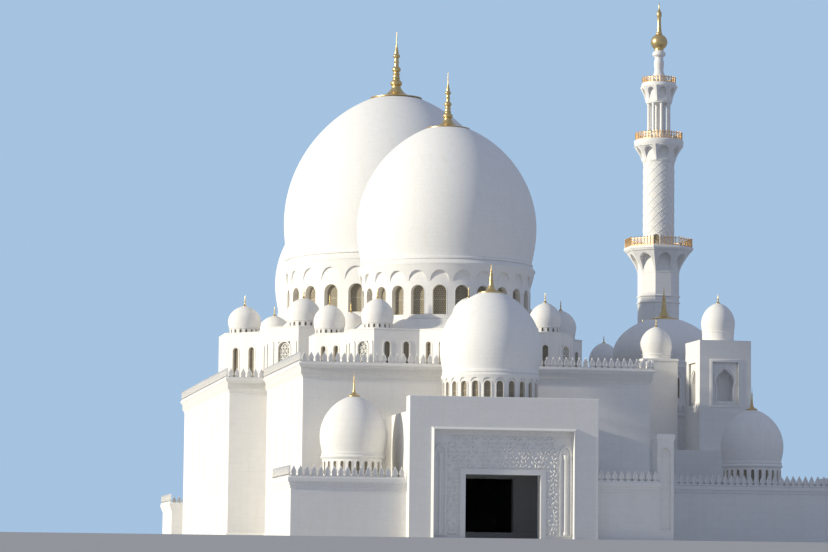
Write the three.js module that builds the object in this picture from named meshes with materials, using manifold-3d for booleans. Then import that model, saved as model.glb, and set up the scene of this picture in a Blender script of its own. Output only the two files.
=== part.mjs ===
// A white marble mosque as a 1:10 scale model: a domed prayer hall with its porches, low rooms,
// courtyard arcades and one minaret. Millimetres, +Z up. The origin is on the ground under the
// middle dome, -Y is the front with the near porch, and +X is the courtyard side.
import * as THREE from 'three';
import { mergeVertices } from 'three/addons/utils/BufferGeometryUtils.js';
import Module from 'manifold-3d';

const wasm = await Module();
wasm.setup();

// Sizes are written in metres of the real building, and METRE turns them into model millimetres.
const METRE = 100;
const GAP = 0.003;
const DEGREE = Math.PI / 180;

// Prayer hall
const WING_HALF_WIDTH = 26;
const CENTRE_HALF_WIDTH = 32;
const CENTRE_HALF_LENGTH = 34;
const HALL_HALF_LENGTH = 74;
const HALL_WALL = 1.2;
const WALL_TOP = 23.9;
const ROOF_THICKNESS = 0.8;
const ROOF_OVERHANG = 0.35;
const CORNICE_TOP = 25.45;
const CORNICE_OVERHANG = 0.7;
const FLOOR_THICKNESS = 0.5;

// Big domes
const DOME_SPACING = 48;
const DOME_SIDES = 24;
const DRUM_SIDES = 24;
const FINIAL_SIDES = 8;
const DRUM_WALL = 1.1;
const CLERESTORY_WALL = 1.0;
const DECK_THICKNESS = 0.6;

// Porches at the two ends
const PORCH_HALF_WIDTH = 12.8;
const PORCH_FRONT = 90.6;
const PORCH_TOP = 18;
const PORCH_WALL = 1.0;
const PORCH_DOME_AXIS = 83;
const SCREEN_HALF_WIDTH = 13.6;
const SCREEN_FRONT = 93.6;
const SCREEN_TOP = 19.9;
const SCREEN_RECESS = { halfWidth: 10.4, top: 15.3, depth: 1.2 };
const DOORWAY = { halfWidth: 5.4, top: 9.0 };

// Low rooms beside the porches
const ANNEX_FRONT = 91.5;
const ANNEX_WEST = 30;
const ANNEX_EAST = 22.65;
const GATE_PIER = { width: 2.4, depth: 3.2, top: 15.2, capHeight: 1.1, capOverhang: 0.14 };
const GATE_PANEL = { halfWidth: 0.75, foot: 1.6, spring: 12.2, top: 13.3, sunk: 0.3 };
const LOW_WALL = 0.8;
const LOW_CORNICE_BASE = 7.1;
const LOW_CORNICE_TOP = 8.25;
const LOW_CORNICE_OVERHANG = 0.45;
const LOW_DOME_SIDES = 16;

// Courtyard side
const EAST_PORCH = { front: 58.5, halfWidth: 12.8, top: 22.5, domeAxis: 47.6 };
const GALLERY = { front: 55.2, halfLength: 32.4, top: 15.5, arches: 3 };
const TURRET = { left: 45.9, width: 8.7, near: 29.6, depth: 9, top: 33.75 };
const PIER = { x: 41.4, y: 18.5, halfWidth: 2.95, top: 31.1 };
const ARCADE = {
  start: WING_HALF_WIDTH + GAP, face: 60, depth: 12, end: 60, northEnd: 56.9, domeX: 47.6, rise: 0.7,
};
const ARCADE_ARCH = { halfWidth: 1.45, spring: 3.6, top: 5.6, pitch: 4.2 };

// Minaret
const MINARET = { x: 62, y: 59 };
const BASE_HALF_WIDTH = 5;

const marble = new THREE.MeshStandardMaterial({ color: 0xf4f2ec, roughness: 0.45, metalness: 0 });
const plaster = new THREE.MeshStandardMaterial({ color: 0xe9e6dd, roughness: 0.6, metalness: 0 });
const paving = new THREE.MeshStandardMaterial({ color: 0xd8d3c6, roughness: 0.4, metalness: 0 });
const gold = new THREE.MeshStandardMaterial({ color: 0xd2ab55, roughness: 0.3, metalness: 0.9 });

// Turns a closed geometry into a solid that can be cut and joined.
function solid(geometry) {
  geometry.deleteAttribute('normal');
  geometry.deleteAttribute('uv');
  const merged = mergeVertices(geometry, 0.002);
  const corners = merged.index.array;
  const kept = [];
  for (let i = 0; i < corners.length; i += 3) {
    const [a, b, c] = [corners[i], corners[i + 1], corners[i + 2]];
    if (a !== b && b !== c && c !== a) {
      kept.push(a, b, c);
    }
  }
  return new wasm.Manifold(new wasm.Mesh({
    numProp: 3,
    vertProperties: Float32Array.from(merged.attributes.position.array),
    triVerts: Uint32Array.from(kept),
  }));
}

// Gives a solid back as a named mesh.
function piece(name, body, material) {
  const { vertProperties, triVerts } = body.getMesh();
  const geometry = new THREE.BufferGeometry();
  geometry.setAttribute('position', new THREE.BufferAttribute(vertProperties, 3));
  geometry.setIndex(new THREE.BufferAttribute(triVerts, 1));
  geometry.computeVertexNormals();
  const mesh = new THREE.Mesh(geometry, material);
  mesh.name = name;
  return mesh;
}

function join(bodies) {
  return bodies.reduce((all, body) => all.add(body));
}

function cut(body, tools) {
  return tools.reduce((left, tool) => left.subtract(tool), body);
}

function outline(points) {
  return new THREE.Shape(points.map(([x, y]) => new THREE.Vector2(x * METRE, y * METRE)));
}

// An upright block: a plan outline raised from one height to another.
function block(points, low, high) {
  const depth = (high - low) * METRE;
  const geometry = new THREE.ExtrudeGeometry(outline(points), { depth, bevelEnabled: false });
  geometry.translate(0, 0, low * METRE);
  return solid(geometry);
}

function box(x0, x1, y0, y1, z0, z1) {
  const geometry = new THREE.BoxGeometry((x1 - x0) * METRE, (y1 - y0) * METRE, (z1 - z0) * METRE);
  geometry.translate((x0 + x1) / 2 * METRE, (y0 + y1) / 2 * METRE, (z0 + z1) / 2 * METRE);
  return solid(geometry);
}

// A block whose outline stands in the XZ plane and runs along Y from near to far.
function acrossY(points, near, far) {
  const depth = (far - near) * METRE;
  const geometry = new THREE.ExtrudeGeometry(outline(points), { depth, bevelEnabled: false });
  geometry.rotateX(Math.PI / 2);
  geometry.translate(0, far * METRE, 0);
  return solid(geometry);
}

// A body of revolution about an upright axis, its profile given as radius and height.
function turned(profile, sides, x = 0, y = 0, turn = 0) {
  const points = profile.map(([r, z]) => new THREE.Vector2(r * METRE, z * METRE));
  const geometry = new THREE.LatheGeometry(points, sides);
  geometry.rotateX(Math.PI / 2);
  geometry.rotateZ(turn);
  geometry.translate(x * METRE, y * METRE, 0);
  return solid(geometry);
}

function spun(body, angle) {
  return body.rotate([0, 0, angle / DEGREE]);
}

function moved(body, x, y, z = 0) {
  return body.translate([x * METRE, y * METRE, z * METRE]);
}

// The bulb of a dome: it swells from the springing to its widest ring, then closes towards the
// pole, its radius falling as the power 0.6 of one less the height squared, up to a flat seat.
function bulb({ springing, springRadius, wide, wideRadius, pole, seat }, steps, inset = 0) {
  const swell = 1 - springRadius / wideRadius;
  const points = [[springRadius - inset, springing]];
  points.push([(wideRadius - inset) * (1 - swell / 4), (springing + wide) / 2]);
  const last = Math.asin((seat - wide) / (pole - wide));
  for (let i = 0; i <= steps; i += 1) {
    const t = Math.sin(last * i / steps);
    points.push([(wideRadius - inset) * (1 - t * t) ** 0.6, wide + (pole - inset - wide) * t]);
  }
  points.push([0, points.at(-1)[1]]);
  return points;
}

// The profile of a hollow dome, closed at the pole and open at the foot.
function domeShell(form, steps, thickness) {
  const inner = bulb(form, Math.ceil(steps / 2), thickness);
  return [...inner.reverse(), ...bulb(form, steps)];
}

// A gold finial: a thin collar, a hollow-sided skirt, beads that grow smaller, a cone and a rod.
function finialProfile(foot, tip, radius) {
  const height = tip - foot;
  const steps = [
    [1, 0], [1, 0.012], [0.6, 0.022], [0.36, 0.055], [0.27, 0.11], [0.185, 0.165], [0.225, 0.2],
    [0.225, 0.265], [0.135, 0.31], [0.13, 0.38], [0.165, 0.44], [0.085, 0.51], [0.09, 0.58],
    [0.135, 0.64], [0.04, 0.77], [0.015, 0.83], [0.015, 1],
  ];
  const side = steps.map(([r, h]) => [r * radius, foot + h * height]);
  return [[0, foot], ...side, [0, tip]];
}

// A round wall with a window in the middle of each flat side, arched on the big domes.
function drum({ radius, foot, top, sill, head, windowWidth, arched, band, bandRadius }, wall, x, y) {
  const half = Math.PI / DRUM_SIDES;
  const toCorner = 1 / Math.cos(half);
  const outer = radius * toCorner;
  const inner = (radius - wall) * toCorner;
  const profile = [
    [inner, foot], [outer, foot], [outer, band], [bandRadius * toCorner, top - 0.9],
    [outer, top], [inner, top], [inner, foot],
  ];
  const ring = turned(profile, DRUM_SIDES, 0, 0, half);
  const halfWidth = windowWidth / 2;
  const shoulder = head - halfWidth;
  const crown = arched ? [[halfWidth, shoulder], [0, head], [-halfWidth, shoulder]]
    : [[halfWidth, head], [-halfWidth, head]];
  const shape = [[-halfWidth, sill], [halfWidth, sill], ...crown];
  const cutter = acrossY(shape, radius - 2 * wall, radius + 1);
  const windows = [];
  for (let i = 0; i < DRUM_SIDES; i += 1) {
    windows.push(spun(cutter, 2 * half * i));
  }
  return moved(cut(ring, windows), x, y);
}

// Where the windows stand along each kind of face, as shares of its length.
const WINDOW_PLACES = {
  main: [0.29, 0.71],
  slant: [0.29, 0.71],
  front: [],
  long: [0.08, 0.2, 0.32, 0.44, 0.56, 0.68, 0.8, 0.92],
  corner: [0.5],
};

// One side of a domed block's plan as seen along +X, up to its corner chamfer. Each corner point
// carries the kind of the face that starts there.
function sidePoints({ face, corner, bayRoot, bayHalfWidth, bayReach }, hasBay) {
  const bay = [
    [face, -bayRoot, 'slant'], [bayReach, -bayHalfWidth, 'front'],
    [bayReach, bayHalfWidth, 'slant'], [face, bayRoot, 'main'],
  ];
  const start = [face, -corner, hasBay ? 'main' : 'long'];
  return [start, ...(hasBay ? bay : []), [face, corner, 'corner']];
}

function turnedPoint([x, y, kind], quarter) {
  const [c, s] = [[1, 0], [0, 1], [-1, 0], [0, -1]][quarter];
  return [x * c - y * s, x * s + y * c, kind];
}

// The whole plan, with bays on the sides named in bays: 0 is +X, 1 is +Y, 2 is -X, 3 is -Y.
function domedPlan(plan, bays, inset = 0) {
  const slant = inset * (Math.SQRT2 - 1);
  const smaller = {
    face: plan.face - inset,
    corner: plan.corner - slant,
    bayRoot: plan.bayRoot - slant,
    bayHalfWidth: plan.bayHalfWidth - slant,
    bayReach: plan.bayReach - inset,
  };
  const quarters = [0, 1, 2, 3];
  return quarters.flatMap((quarter) => sidePoints(smaller, bays.includes(quarter))
    .map((point) => turnedPoint(point, quarter)));
}

// Windows through the faces of a domed block, narrow ones and a wide one on each corner.
function windowCutters(points, { sill, head, narrow, wide }, wall) {
  return points.flatMap(([x0, y0, kind], i) => {
    const [x1, y1] = points[(i + 1) % points.length];
    const angle = Math.atan2(y1 - y0, x1 - x0);
    const halfWidth = (kind === 'corner' ? wide : narrow) / 2;
    const tool = box(-halfWidth, halfWidth, -0.5, wall + 0.5, sill, head);
    return WINDOW_PLACES[kind].map((share) => moved(spun(tool, angle),
      x0 + (x1 - x0) * share, y0 + (y1 - y0) * share));
  });
}

const SIDE_PLAN = { face: 17, corner: 14.1, bayRoot: 7.2, bayHalfWidth: 3.2, bayReach: 21 };
const CENTRE_PLAN = { face: 23.8, corner: 19.7, bayRoot: 10.1, bayHalfWidth: 4.5, bayReach: 29.4 };

// Everything about a big dome and the block below it.
const SIDE_DOME = {
  plan: SIDE_PLAN,
  windows: { sill: 25.5, head: 29.6, narrow: 0.95, wide: 1.85 },
  deck: 30.9,
  drum: {
    radius: 13.1, foot: 33.5, top: 42.7, sill: 34.2, head: 38.7, windowWidth: 2.13,
    arched: true, band: 39.7, bandRadius: 13.8,
  },
  form: {
    springing: 42.7 + GAP, springRadius: 13.3, wide: 48.6, wideRadius: 14.0, pole: 65.1, seat: 64.3,
  },
  skirtRadius: 16.2,
  collar: 3.5,
  tip: 73.35,
  cupola: { ring: 18.3, radius: 2.46, foot: 31.2, wide: 33.2, top: 36.3 },
  shell: 0.8,
};
const CENTRE_DOME = {
  plan: CENTRE_PLAN,
  windows: { sill: 25.8, head: 32.4, narrow: 1.2, wide: 2.4 },
  deck: 34.3,
  drum: {
    radius: 18.2, foot: 37.3, top: 48, sill: 38.1, head: 42.85, windowWidth: 2.7,
    arched: true, band: 44.2, bandRadius: 18.75,
  },
  form: {
    springing: 48 + GAP, springRadius: 18.4, wide: 54.7, wideRadius: 18.95, pole: 77.2, seat: 76.3,
  },
  skirtRadius: 22.2,
  collar: 4.5,
  tip: 88,
  cupola: { ring: 25.6, radius: 2.8, foot: 34.7, wide: 36.6, top: 39.9 },
  shell: 1.0,
};

// The upper block under a big dome, its deck with small domes, the drum, the dome and finial.
function domedStorey(name, spec, y, bays) {
  const plan = domedPlan(spec.plan, bays);
  const room = domedPlan(spec.plan, bays, CLERESTORY_WALL);
  const low = WALL_TOP + GAP + ROOF_THICKNESS + GAP;
  const walls = cut(block(plan, low, spec.deck),
    [block(room, low - 1, spec.deck + 1), ...windowCutters(plan, spec.windows, CLERESTORY_WALL)]);

  const deckLow = spec.deck + GAP;
  const deckTop = deckLow + DECK_THICKNESS;
  const { drum: wall, cupola } = spec;
  const opening = wall.radius - DRUM_WALL;
  const skirt = [
    [0, deckLow], [spec.skirtRadius, deckLow], [spec.skirtRadius, deckTop],
    [wall.radius + 0.4, wall.foot - GAP], [0, wall.foot - GAP],
  ];
  const smallDome = [
    [0, deckTop - 0.3], [0.88 * cupola.radius, deckTop - 0.3], [0.88 * cupola.radius, cupola.foot],
    [cupola.radius, cupola.wide], [0.62 * cupola.radius, (cupola.wide + 2 * cupola.top) / 3],
    [0, cupola.top],
  ];
  const smallDomes = [];
  for (let i = 0; i < 8; i += 1) {
    const onMissingBay = i % 2 === 0 && !bays.includes(i / 2);
    const angle = i * 45 * DEGREE;
    if (!onMissingBay) {
      smallDomes.push(turned(smallDome, 8, cupola.ring * Math.cos(angle),
        cupola.ring * Math.sin(angle)));
    }
  }
  const hole = turned([[0, deckLow - 1], [opening, deckLow - 1], [opening, wall.foot + 1],
    [0, wall.foot + 1]], DRUM_SIDES, 0, 0, Math.PI / DRUM_SIDES);
  const deck = cut(join([block(plan, deckLow, deckTop), turned(skirt, DOME_SIDES), ...smallDomes]),
    [hole]);

  // The round wall comes in thirds, parted in the middle of three piers.
  const ring = drum(wall, DRUM_WALL, 0, 0);
  const third = (middle) => {
    const reach = 2 * wall.radius;
    const corners = [-60, 0, 60].map((turn) => (middle + turn) * DEGREE);
    const wedge = block([
      [0, 0], ...corners.map((angle) => [reach * Math.cos(angle), reach * Math.sin(angle)]),
    ], wall.foot - 1, wall.top + 1);
    const apart = GAP / Math.sqrt(3);
    const part = moved(wedge, apart * Math.cos(middle * DEGREE), apart * Math.sin(middle * DEGREE));
    return moved(ring.intersect(part), 0, y);
  };

  const shell = turned(domeShell(spec.form, 7, spec.shell), DOME_SIDES, 0, y);
  const finial = finialProfile(spec.form.seat + GAP, spec.tip, spec.collar);
  return [
    piece(`clerestory_${name}`, moved(walls, 0, y), marble),
    piece(`roof_${name}`, moved(deck, 0, y), marble),
    piece(`drum_${name}_north_third`, third(67.5), marble),
    piece(`drum_${name}_west_third`, third(187.5), marble),
    piece(`drum_${name}_south_third`, third(307.5), marble),
    piece(`dome_${name}`, shell, marble),
    piece(`finial_${name}`, turned(finial, FINIAL_SIDES, 0, y), gold),
  ];
}

// The hall's plan, a wide middle between two narrower wings, grown or shrunk by an offset.
function hallPlan(offset) {
  const wing = WING_HALF_WIDTH + offset;
  const centre = CENTRE_HALF_WIDTH + offset;
  const middle = CENTRE_HALF_LENGTH + offset;
  const end = HALL_HALF_LENGTH + offset;
  return [
    [-wing, -end], [wing, -end], [wing, -middle], [centre, -middle], [centre, middle],
    [wing, middle], [wing, end], [-wing, end], [-wing, middle], [-centre, middle],
    [-centre, -middle], [-wing, -middle],
  ];
}

function doorwayCutter(near, far) {
  const { halfWidth, top } = DOORWAY;
  return box(-halfWidth, halfWidth, near, far, -1, top);
}

function hallPieces() {
  const walls = cut(block(hallPlan(0), 0, WALL_TOP), [block(hallPlan(-HALL_WALL), -1, WALL_TOP + 1)]);
  const south = doorwayCutter(-HALL_HALF_LENGTH - 1, -HALL_HALF_LENGTH + 2);
  const north = doorwayCutter(HALL_HALF_LENGTH - 2, HALL_HALF_LENGTH + 1);
  const east = spun(doorwayCutter(CENTRE_HALF_WIDTH - 2, CENTRE_HALF_WIDTH + 1), -Math.PI / 2);
  const pierced = cut(walls, [south, north, east]);
  const seam = GAP / 2;
  const reach = CENTRE_HALF_LENGTH - HALL_WALL;
  const far = 100;
  const parts = [
    ['wall_south_wing', box(-far, far, -far, -reach - seam, -5, 60)],
    ['wall_north_wing', box(-far, far, reach + seam, far, -5, 60)],
    ['wall_centre_west', box(-far, 0, -reach + seam, reach - seam, -5, 60)],
    ['wall_centre_east', box(0, far, -reach + seam, reach - seam, -5, 60)],
  ];
  const pieces = parts.map(([name, region]) => piece(name, pierced.intersect(region), marble));

  const roofLow = WALL_TOP + GAP;
  const roofTop = roofLow + ROOF_THICKNESS;
  const openings = [
    [SIDE_PLAN, -DOME_SPACING], [CENTRE_PLAN, 0], [SIDE_PLAN, DOME_SPACING],
  ].map(([plan, y]) => moved(block(domedPlan(plan, [], 1.8), roofLow - 1, roofTop + 1), 0, y));
  const roof = cut(block(hallPlan(ROOF_OVERHANG), roofLow, roofTop), openings);
  const cornice = cut(block(hallPlan(CORNICE_OVERHANG), roofTop + GAP, CORNICE_TOP),
    [block(hallPlan(-HALL_WALL), roofTop - 1, CORNICE_TOP + 1)]);
  pieces.push(
    piece('hall_floor', block(hallPlan(-HALL_WALL - GAP), 0, FLOOR_THICKNESS), paving),
    piece('hall_roof', roof, plaster),
    piece('hall_cornice', cornice, marble),
  );
  return pieces;
}

// The entrance porch in front of the south wall, later turned round for the north.
const PORCH_DRUM = {
  radius: 6.8, foot: 18 + GAP, top: 23.7, sill: 20.1, head: 22.4, windowWidth: 0.95,
  arched: false, band: 22.8, bandRadius: 7.1,
};
const PORCH_FORM = {
  springing: 23.7 + GAP, springRadius: 6.9, wide: 27.3, wideRadius: 7.35, pole: 35.9, seat: 35.4,
};

function porchPieces() {
  const seam = HALL_HALF_LENGTH + GAP;
  const { halfWidth, top, depth } = SCREEN_RECESS;
  const body = box(-PORCH_HALF_WIDTH, PORCH_HALF_WIDTH, -PORCH_FRONT, -seam, 0, PORCH_TOP);
  const inside = PORCH_HALF_WIDTH - PORCH_WALL;
  const room = box(-inside, inside, -PORCH_FRONT - 1, -seam + 1, -1, PORCH_TOP - PORCH_WALL);
  const light = turned([[0, 10], [5.7, 10], [5.7, 30], [0, 30]], DRUM_SIDES, 0, -PORCH_DOME_AXIS,
    Math.PI / DRUM_SIDES);
  const screen = box(-SCREEN_HALF_WIDTH, SCREEN_HALF_WIDTH, -SCREEN_FRONT, -PORCH_FRONT - GAP,
    0, SCREEN_TOP);
  const recess = box(-halfWidth, halfWidth, -SCREEN_FRONT - 1, -SCREEN_FRONT + depth, -1, top);
  const dome = turned(domeShell(PORCH_FORM, 5, 0.5), 24, 0, -PORCH_DOME_AXIS);
  const finial = finialProfile(PORCH_FORM.seat + GAP, 39.7, 1.9);
  return [
    ['porch', cut(body, [room, light]), marble],
    ['portal', cut(screen, [recess, doorwayCutter(-SCREEN_FRONT - 1, -PORCH_FRONT + 1)]), marble],
    ['porch_drum', drum(PORCH_DRUM, 0.7, 0, -PORCH_DOME_AXIS), marble],
    ['porch_dome', dome, marble],
    ['porch_finial', turned(finial, FINIAL_SIDES, 0, -PORCH_DOME_AXIS), gold],
  ];
}

// A low drum and dome in one shell that stands on a flat roof. The rise lifts it all a little.
function lowDome(x, y, rise = 0) {
  const form = {
    springing: 11.9 + rise, springRadius: 4.5, wide: 14.6 + rise, wideRadius: 4.87,
    pole: 20.4 + rise, seat: 20.1 + rise,
  };
  const roof = LOW_CORNICE_TOP + rise - 0.5;
  const outer = [[4.45, roof], ...bulb(form, 5)];
  const inner = [[3.95, roof - 1], ...bulb(form, 3, 0.5)];
  const skin = turned([[0, roof], ...outer], LOW_DOME_SIDES, x, y);
  const hollow = turned([[0, roof - 1], ...inner], LOW_DOME_SIDES, x, y);
  return { skin, hollow };
}

// A low flat-roofed room from x0 to x1 with a projecting cornice, open at the ground.
function lowRoom(x0, x1, y0, y1, overhangs, rise = 0) {
  const [left, right, near, far] = overhangs.map((on) => (on ? LOW_CORNICE_OVERHANG : 0));
  const [base, top] = [LOW_CORNICE_BASE + rise, LOW_CORNICE_TOP + rise];
  const body = box(x0, x1, y0, y1, 0, top - 0.5);
  const cornice = box(x0 - left, x1 + right, y0 - near, y1 + far, base, top);
  const room = box(x0 + LOW_WALL, x1 - LOW_WALL, y0 + LOW_WALL, y1 - LOW_WALL, -1, base);
  return { body: body.add(cornice), room };
}

// The pier at the outer front corner of the east room, with a sunk arched panel and a cap.
function gatePier() {
  const { width, depth, top, capHeight, capOverhang: over } = GATE_PIER;
  const [left, near] = [ANNEX_EAST - GAP, -ANNEX_FRONT];
  const right = ANNEX_EAST + width;
  const shaft = box(left, right, near, near + depth, 0, top);
  const cap = box(left - over, right + over, near - over, near + depth + over, top - capHeight, top);
  const { halfWidth, foot, spring, top: head, sunk } = GATE_PANEL;
  const panel = acrossY(pointedArch(halfWidth, spring, head, foot), near - 1, near + sunk);
  return cut(shaft.add(cap), [moved(panel, ANNEX_EAST + width / 2, 0)]);
}

function annexPieces() {
  const inner = SCREEN_HALF_WIDTH + GAP;
  const back = -HALL_HALF_LENGTH - GAP;
  const westRoom = lowRoom(-ANNEX_WEST, -inner, -ANNEX_FRONT, back, [1, 0, 1, 0]);
  const eastRoom = lowRoom(inner, ANNEX_EAST, -ANNEX_FRONT, back, [0, 1, 1, 0]);
  const dome = lowDome(-19.4, -80);
  return [
    ['annex_west', cut(westRoom.body.add(dome.skin), [westRoom.room, dome.hollow]), marble],
    ['annex_east', cut(eastRoom.body, [eastRoom.room]).add(gatePier()), marble],
  ];
}

function pointedArch(halfWidth, spring, top, foot) {
  const middle = spring + 0.65 * (top - spring);
  return [
    [-halfWidth, foot], [halfWidth, foot], [halfWidth, spring], [0.66 * halfWidth, middle],
    [0, top], [-0.66 * halfWidth, middle], [-halfWidth, spring],
  ];
}

// A covered walk with a plain outer wall and pointed arches to the courtyard.
function arcade(end, side) {
  const near = side < 0 ? -ARCADE.face : ARCADE.face - ARCADE.depth;
  const far = near + ARCADE.depth;
  const overhangs = [0, 0, side < 0 ? 1 : 0, side < 0 ? 0 : 1];
  const walk = lowRoom(ARCADE.start, end, near, far, overhangs, ARCADE.rise);
  const dome = lowDome(ARCADE.domeX, side * (ARCADE.face - ARCADE.depth / 2), ARCADE.rise);
  const { halfWidth, spring, top, pitch } = ARCADE_ARCH;
  const count = Math.floor((end - ARCADE.start - 0.6) / pitch);
  const first = (ARCADE.start + end) / 2 - pitch * (count - 1) / 2;
  const inner = side < 0 ? far : near;
  const arches = [];
  for (let i = 0; i < count; i += 1) {
    const shape = pointedArch(halfWidth, spring, top, -1);
    arches.push(moved(acrossY(shape, inner - 1.2, inner + 1.2), first + i * pitch, 0));
  }
  return cut(walk.body.add(dome.skin), [walk.room, dome.hollow, ...arches]);
}

// The courtyard entrance: a tall porch between two lower galleries with pointed arches.
function eastPieces() {
  const { front, halfWidth, top, domeAxis } = EAST_PORCH;
  const back = CENTRE_HALF_WIDTH + GAP;
  const porch = box(back, front, -halfWidth, halfWidth, 0, top);
  const gallery = box(back, GALLERY.front, -GALLERY.halfLength, GALLERY.halfLength, 0, GALLERY.top);
  const wall = PORCH_WALL;
  const porchRoom = box(back - 1, front - wall, -halfWidth + wall, halfWidth - wall, -1, top - wall);
  const sideRooms = [-1, 1].map((side) => {
    const [a, b] = [side * (halfWidth + wall), side * (GALLERY.halfLength - wall)];
    return box(back - 1, GALLERY.front - wall, Math.min(a, b), Math.max(a, b), -1, GALLERY.top - wall);
  });
  const door = spun(acrossY(pointedArch(5, 8, 13, -1), front - 3, front + 1), -Math.PI / 2);
  const length = GALLERY.halfLength - halfWidth;
  const arches = [];
  for (let i = 0; i < GALLERY.arches; i += 1) {
    const y = halfWidth + length * (i + 0.5) / GALLERY.arches;
    for (const side of [-1, 1]) {
      const arch = acrossY(pointedArch(2.1, 7.5, 11, -1), GALLERY.front - 3, GALLERY.front + 1);
      arches.push(moved(spun(arch, -Math.PI / 2), 0, side * y));
    }
  }
  const light = turned([[0, 15], [7.3, 15], [7.3, 40], [0, 40]], DRUM_SIDES, domeAxis, 0,
    Math.PI / DRUM_SIDES);
  const wallRing = {
    radius: 8.3, foot: top + GAP, top: 31.4, sill: 25.6, head: 29.2, windowWidth: 1.15,
    arched: false, band: 29.8, bandRadius: 8.7,
  };
  const form = {
    springing: 31.4 + GAP, springRadius: 8.4, wide: 33.4, wideRadius: 8.8, pole: 39.9, seat: 39.3,
  };
  const shell = turned(domeShell(form, 5, 0.6), 24, domeAxis, 0);
  const finial = finialProfile(form.seat + GAP, 45, 2.5);
  return [
    piece('east_porch', cut(porch.add(gallery), [porchRoom, ...sideRooms, door, ...arches, light]),
      marble),
    piece('east_drum', drum(wallRing, 0.8, domeAxis, 0), marble),
    piece('east_dome', shell, marble),
    piece('east_finial', turned(finial, FINIAL_SIDES, domeAxis, 0), gold),
  ];
}

// A square tower on the gallery's roof, with a sunk panel and a horseshoe arch on each side,
// under a small dome.
function turret(side) {
  const { left, width, near, depth, top } = TURRET;
  const far = near - depth;
  const [y0, y1] = [Math.min(side * near, side * far), Math.max(side * near, side * far)];
  const middle = { x: left + width / 2, y: (y0 + y1) / 2 };
  const body = box(left, left + width, y0, y1, GALLERY.top + GAP, top);
  const head = top - 4.65;
  const arch = [
    [-1.25, head - 5.3], [1.25, head - 5.3], [1.25, head - 3.3], [1.55, head - 2.3],
    [1.25, head - 1.2], [0, head], [-1.25, head - 1.2], [-1.55, head - 2.3], [-1.25, head - 3.3],
  ];
  const sunk = [];
  for (let quarter = 0; quarter < 4; quarter += 1) {
    const reach = quarter % 2 === 0 ? depth / 2 : width / 2;
    const panel = box(-2.55, 2.55, reach - 0.35, reach + 1, top - 11, top - 3.2);
    const niche = acrossY(arch, reach - 2.2, reach + 1);
    sunk.push(moved(spun(panel.add(niche), quarter * Math.PI / 2), middle.x, middle.y));
  }
  const dome = [
    [0, top - 0.5], [2.55, top - 0.5], [2.55, top + 1.6], [2.74, top + 3], [2.5, top + 4.4],
    [1.5, top + 5.8], [0, top + 6.5],
  ];
  return cut(body.add(turned(dome, 12, middle.x, middle.y)), sunk);
}

function cornerPier(side) {
  const { x, y, halfWidth, top } = PIER;
  const [y0, y1] = [side * y - halfWidth, side * y + halfWidth];
  const body = box(x - halfWidth, x + halfWidth, y0, y1, GALLERY.top + GAP, top);
  const dome = [
    [0, top - 0.5], [2.25, top - 0.5], [2.25, top + 0.7], [2.6, top + 2.35], [2.25, top + 3.75],
    [1.2, top + 4.9], [0, top + 5.5],
  ];
  return body.add(turned(dome, 12, x, side * y));
}

function minaretPieces() {
  const { x, y } = MINARET;
  const octagon = (radius) => radius / Math.cos(Math.PI / 8);
  const eighth = Math.PI / 8;
  const stack = (profile, sides, turn = 0) => turned(profile, sides, x, y, turn);
  const closed = (points) => [[0, points[0][1]], ...points, [0, points.at(-1)[1]]];
  const eightSided = (points) => stack(closed(points.map(([r, z]) => [octagon(r), z])), 8, eighth);
  const round = (points, sides) => stack(closed(points), sides);
  const base = BASE_HALF_WIDTH;
  return [
    piece('minaret_base', box(x - base, x + base, y - base, y + base, 0, 36).add(
      eightSided([[4.9, 35.5], [3.73, 38]])), marble),
    piece('minaret_octagon_shaft', eightSided([
      [3.73, 38 + GAP], [3.73, 47.5], [3.95, 47.7], [3.73, 48.0], [3.73, 48.7], [3.95, 48.9],
      [3.73, 49.2], [3.73, 53.2], [4.2, 54.8], [5.1, 56.5], [6.0, 57.7],
    ]), marble),
    piece('minaret_lower_balcony', eightSided([
      [6.27, 57.7 + GAP], [6.27, 60.2],
    ]).subtract(eightSided([[5.95, 58.5], [5.95, 61]])), gold),
    piece('minaret_round_shaft', round([
      [3.08, 58.5 + GAP], [3.08, 75.3], [3.6, 76.4], [4.5, 78.2],
    ], 16), marble),
    piece('minaret_upper_balcony', round([
      [4.79, 78.2 + GAP], [4.79, 79.4], [4.56, 79.4], [4.56, 80.9],
    ], 16).subtract(round([[4.25, 79.4], [4.25, 82]], 16)), gold),
    piece('minaret_lantern', lanternBody(x, y), marble),
    piece('minaret_crown', round([
      [2.45, 86.9 + GAP], [2.5, 87.2], [3.45, 89.75], [3.3, 90.6], [3.25, 91.8], [3.1, 91.8],
      [3.05, 90.6], [1.9, 90.7], [1.45, 91.8], [0.85, 93.2], [1.02, 94.7], [0.8, 95.5],
      [1.28, 96.4], [0.88, 97],
    ], 16), marble),
    piece('minaret_finial', round([
      [0.88, 97 + GAP], [1.4, 97.7], [1.62, 98.7], [1.35, 99.7], [0.6, 100.4], [0.4, 101.7],
      [0.37, 103.5], [0.53, 104.2], [0.3, 104.8], [0.1, 105.5], [0.06, 106.9],
    ], 12), gold),
  ];
}

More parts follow.
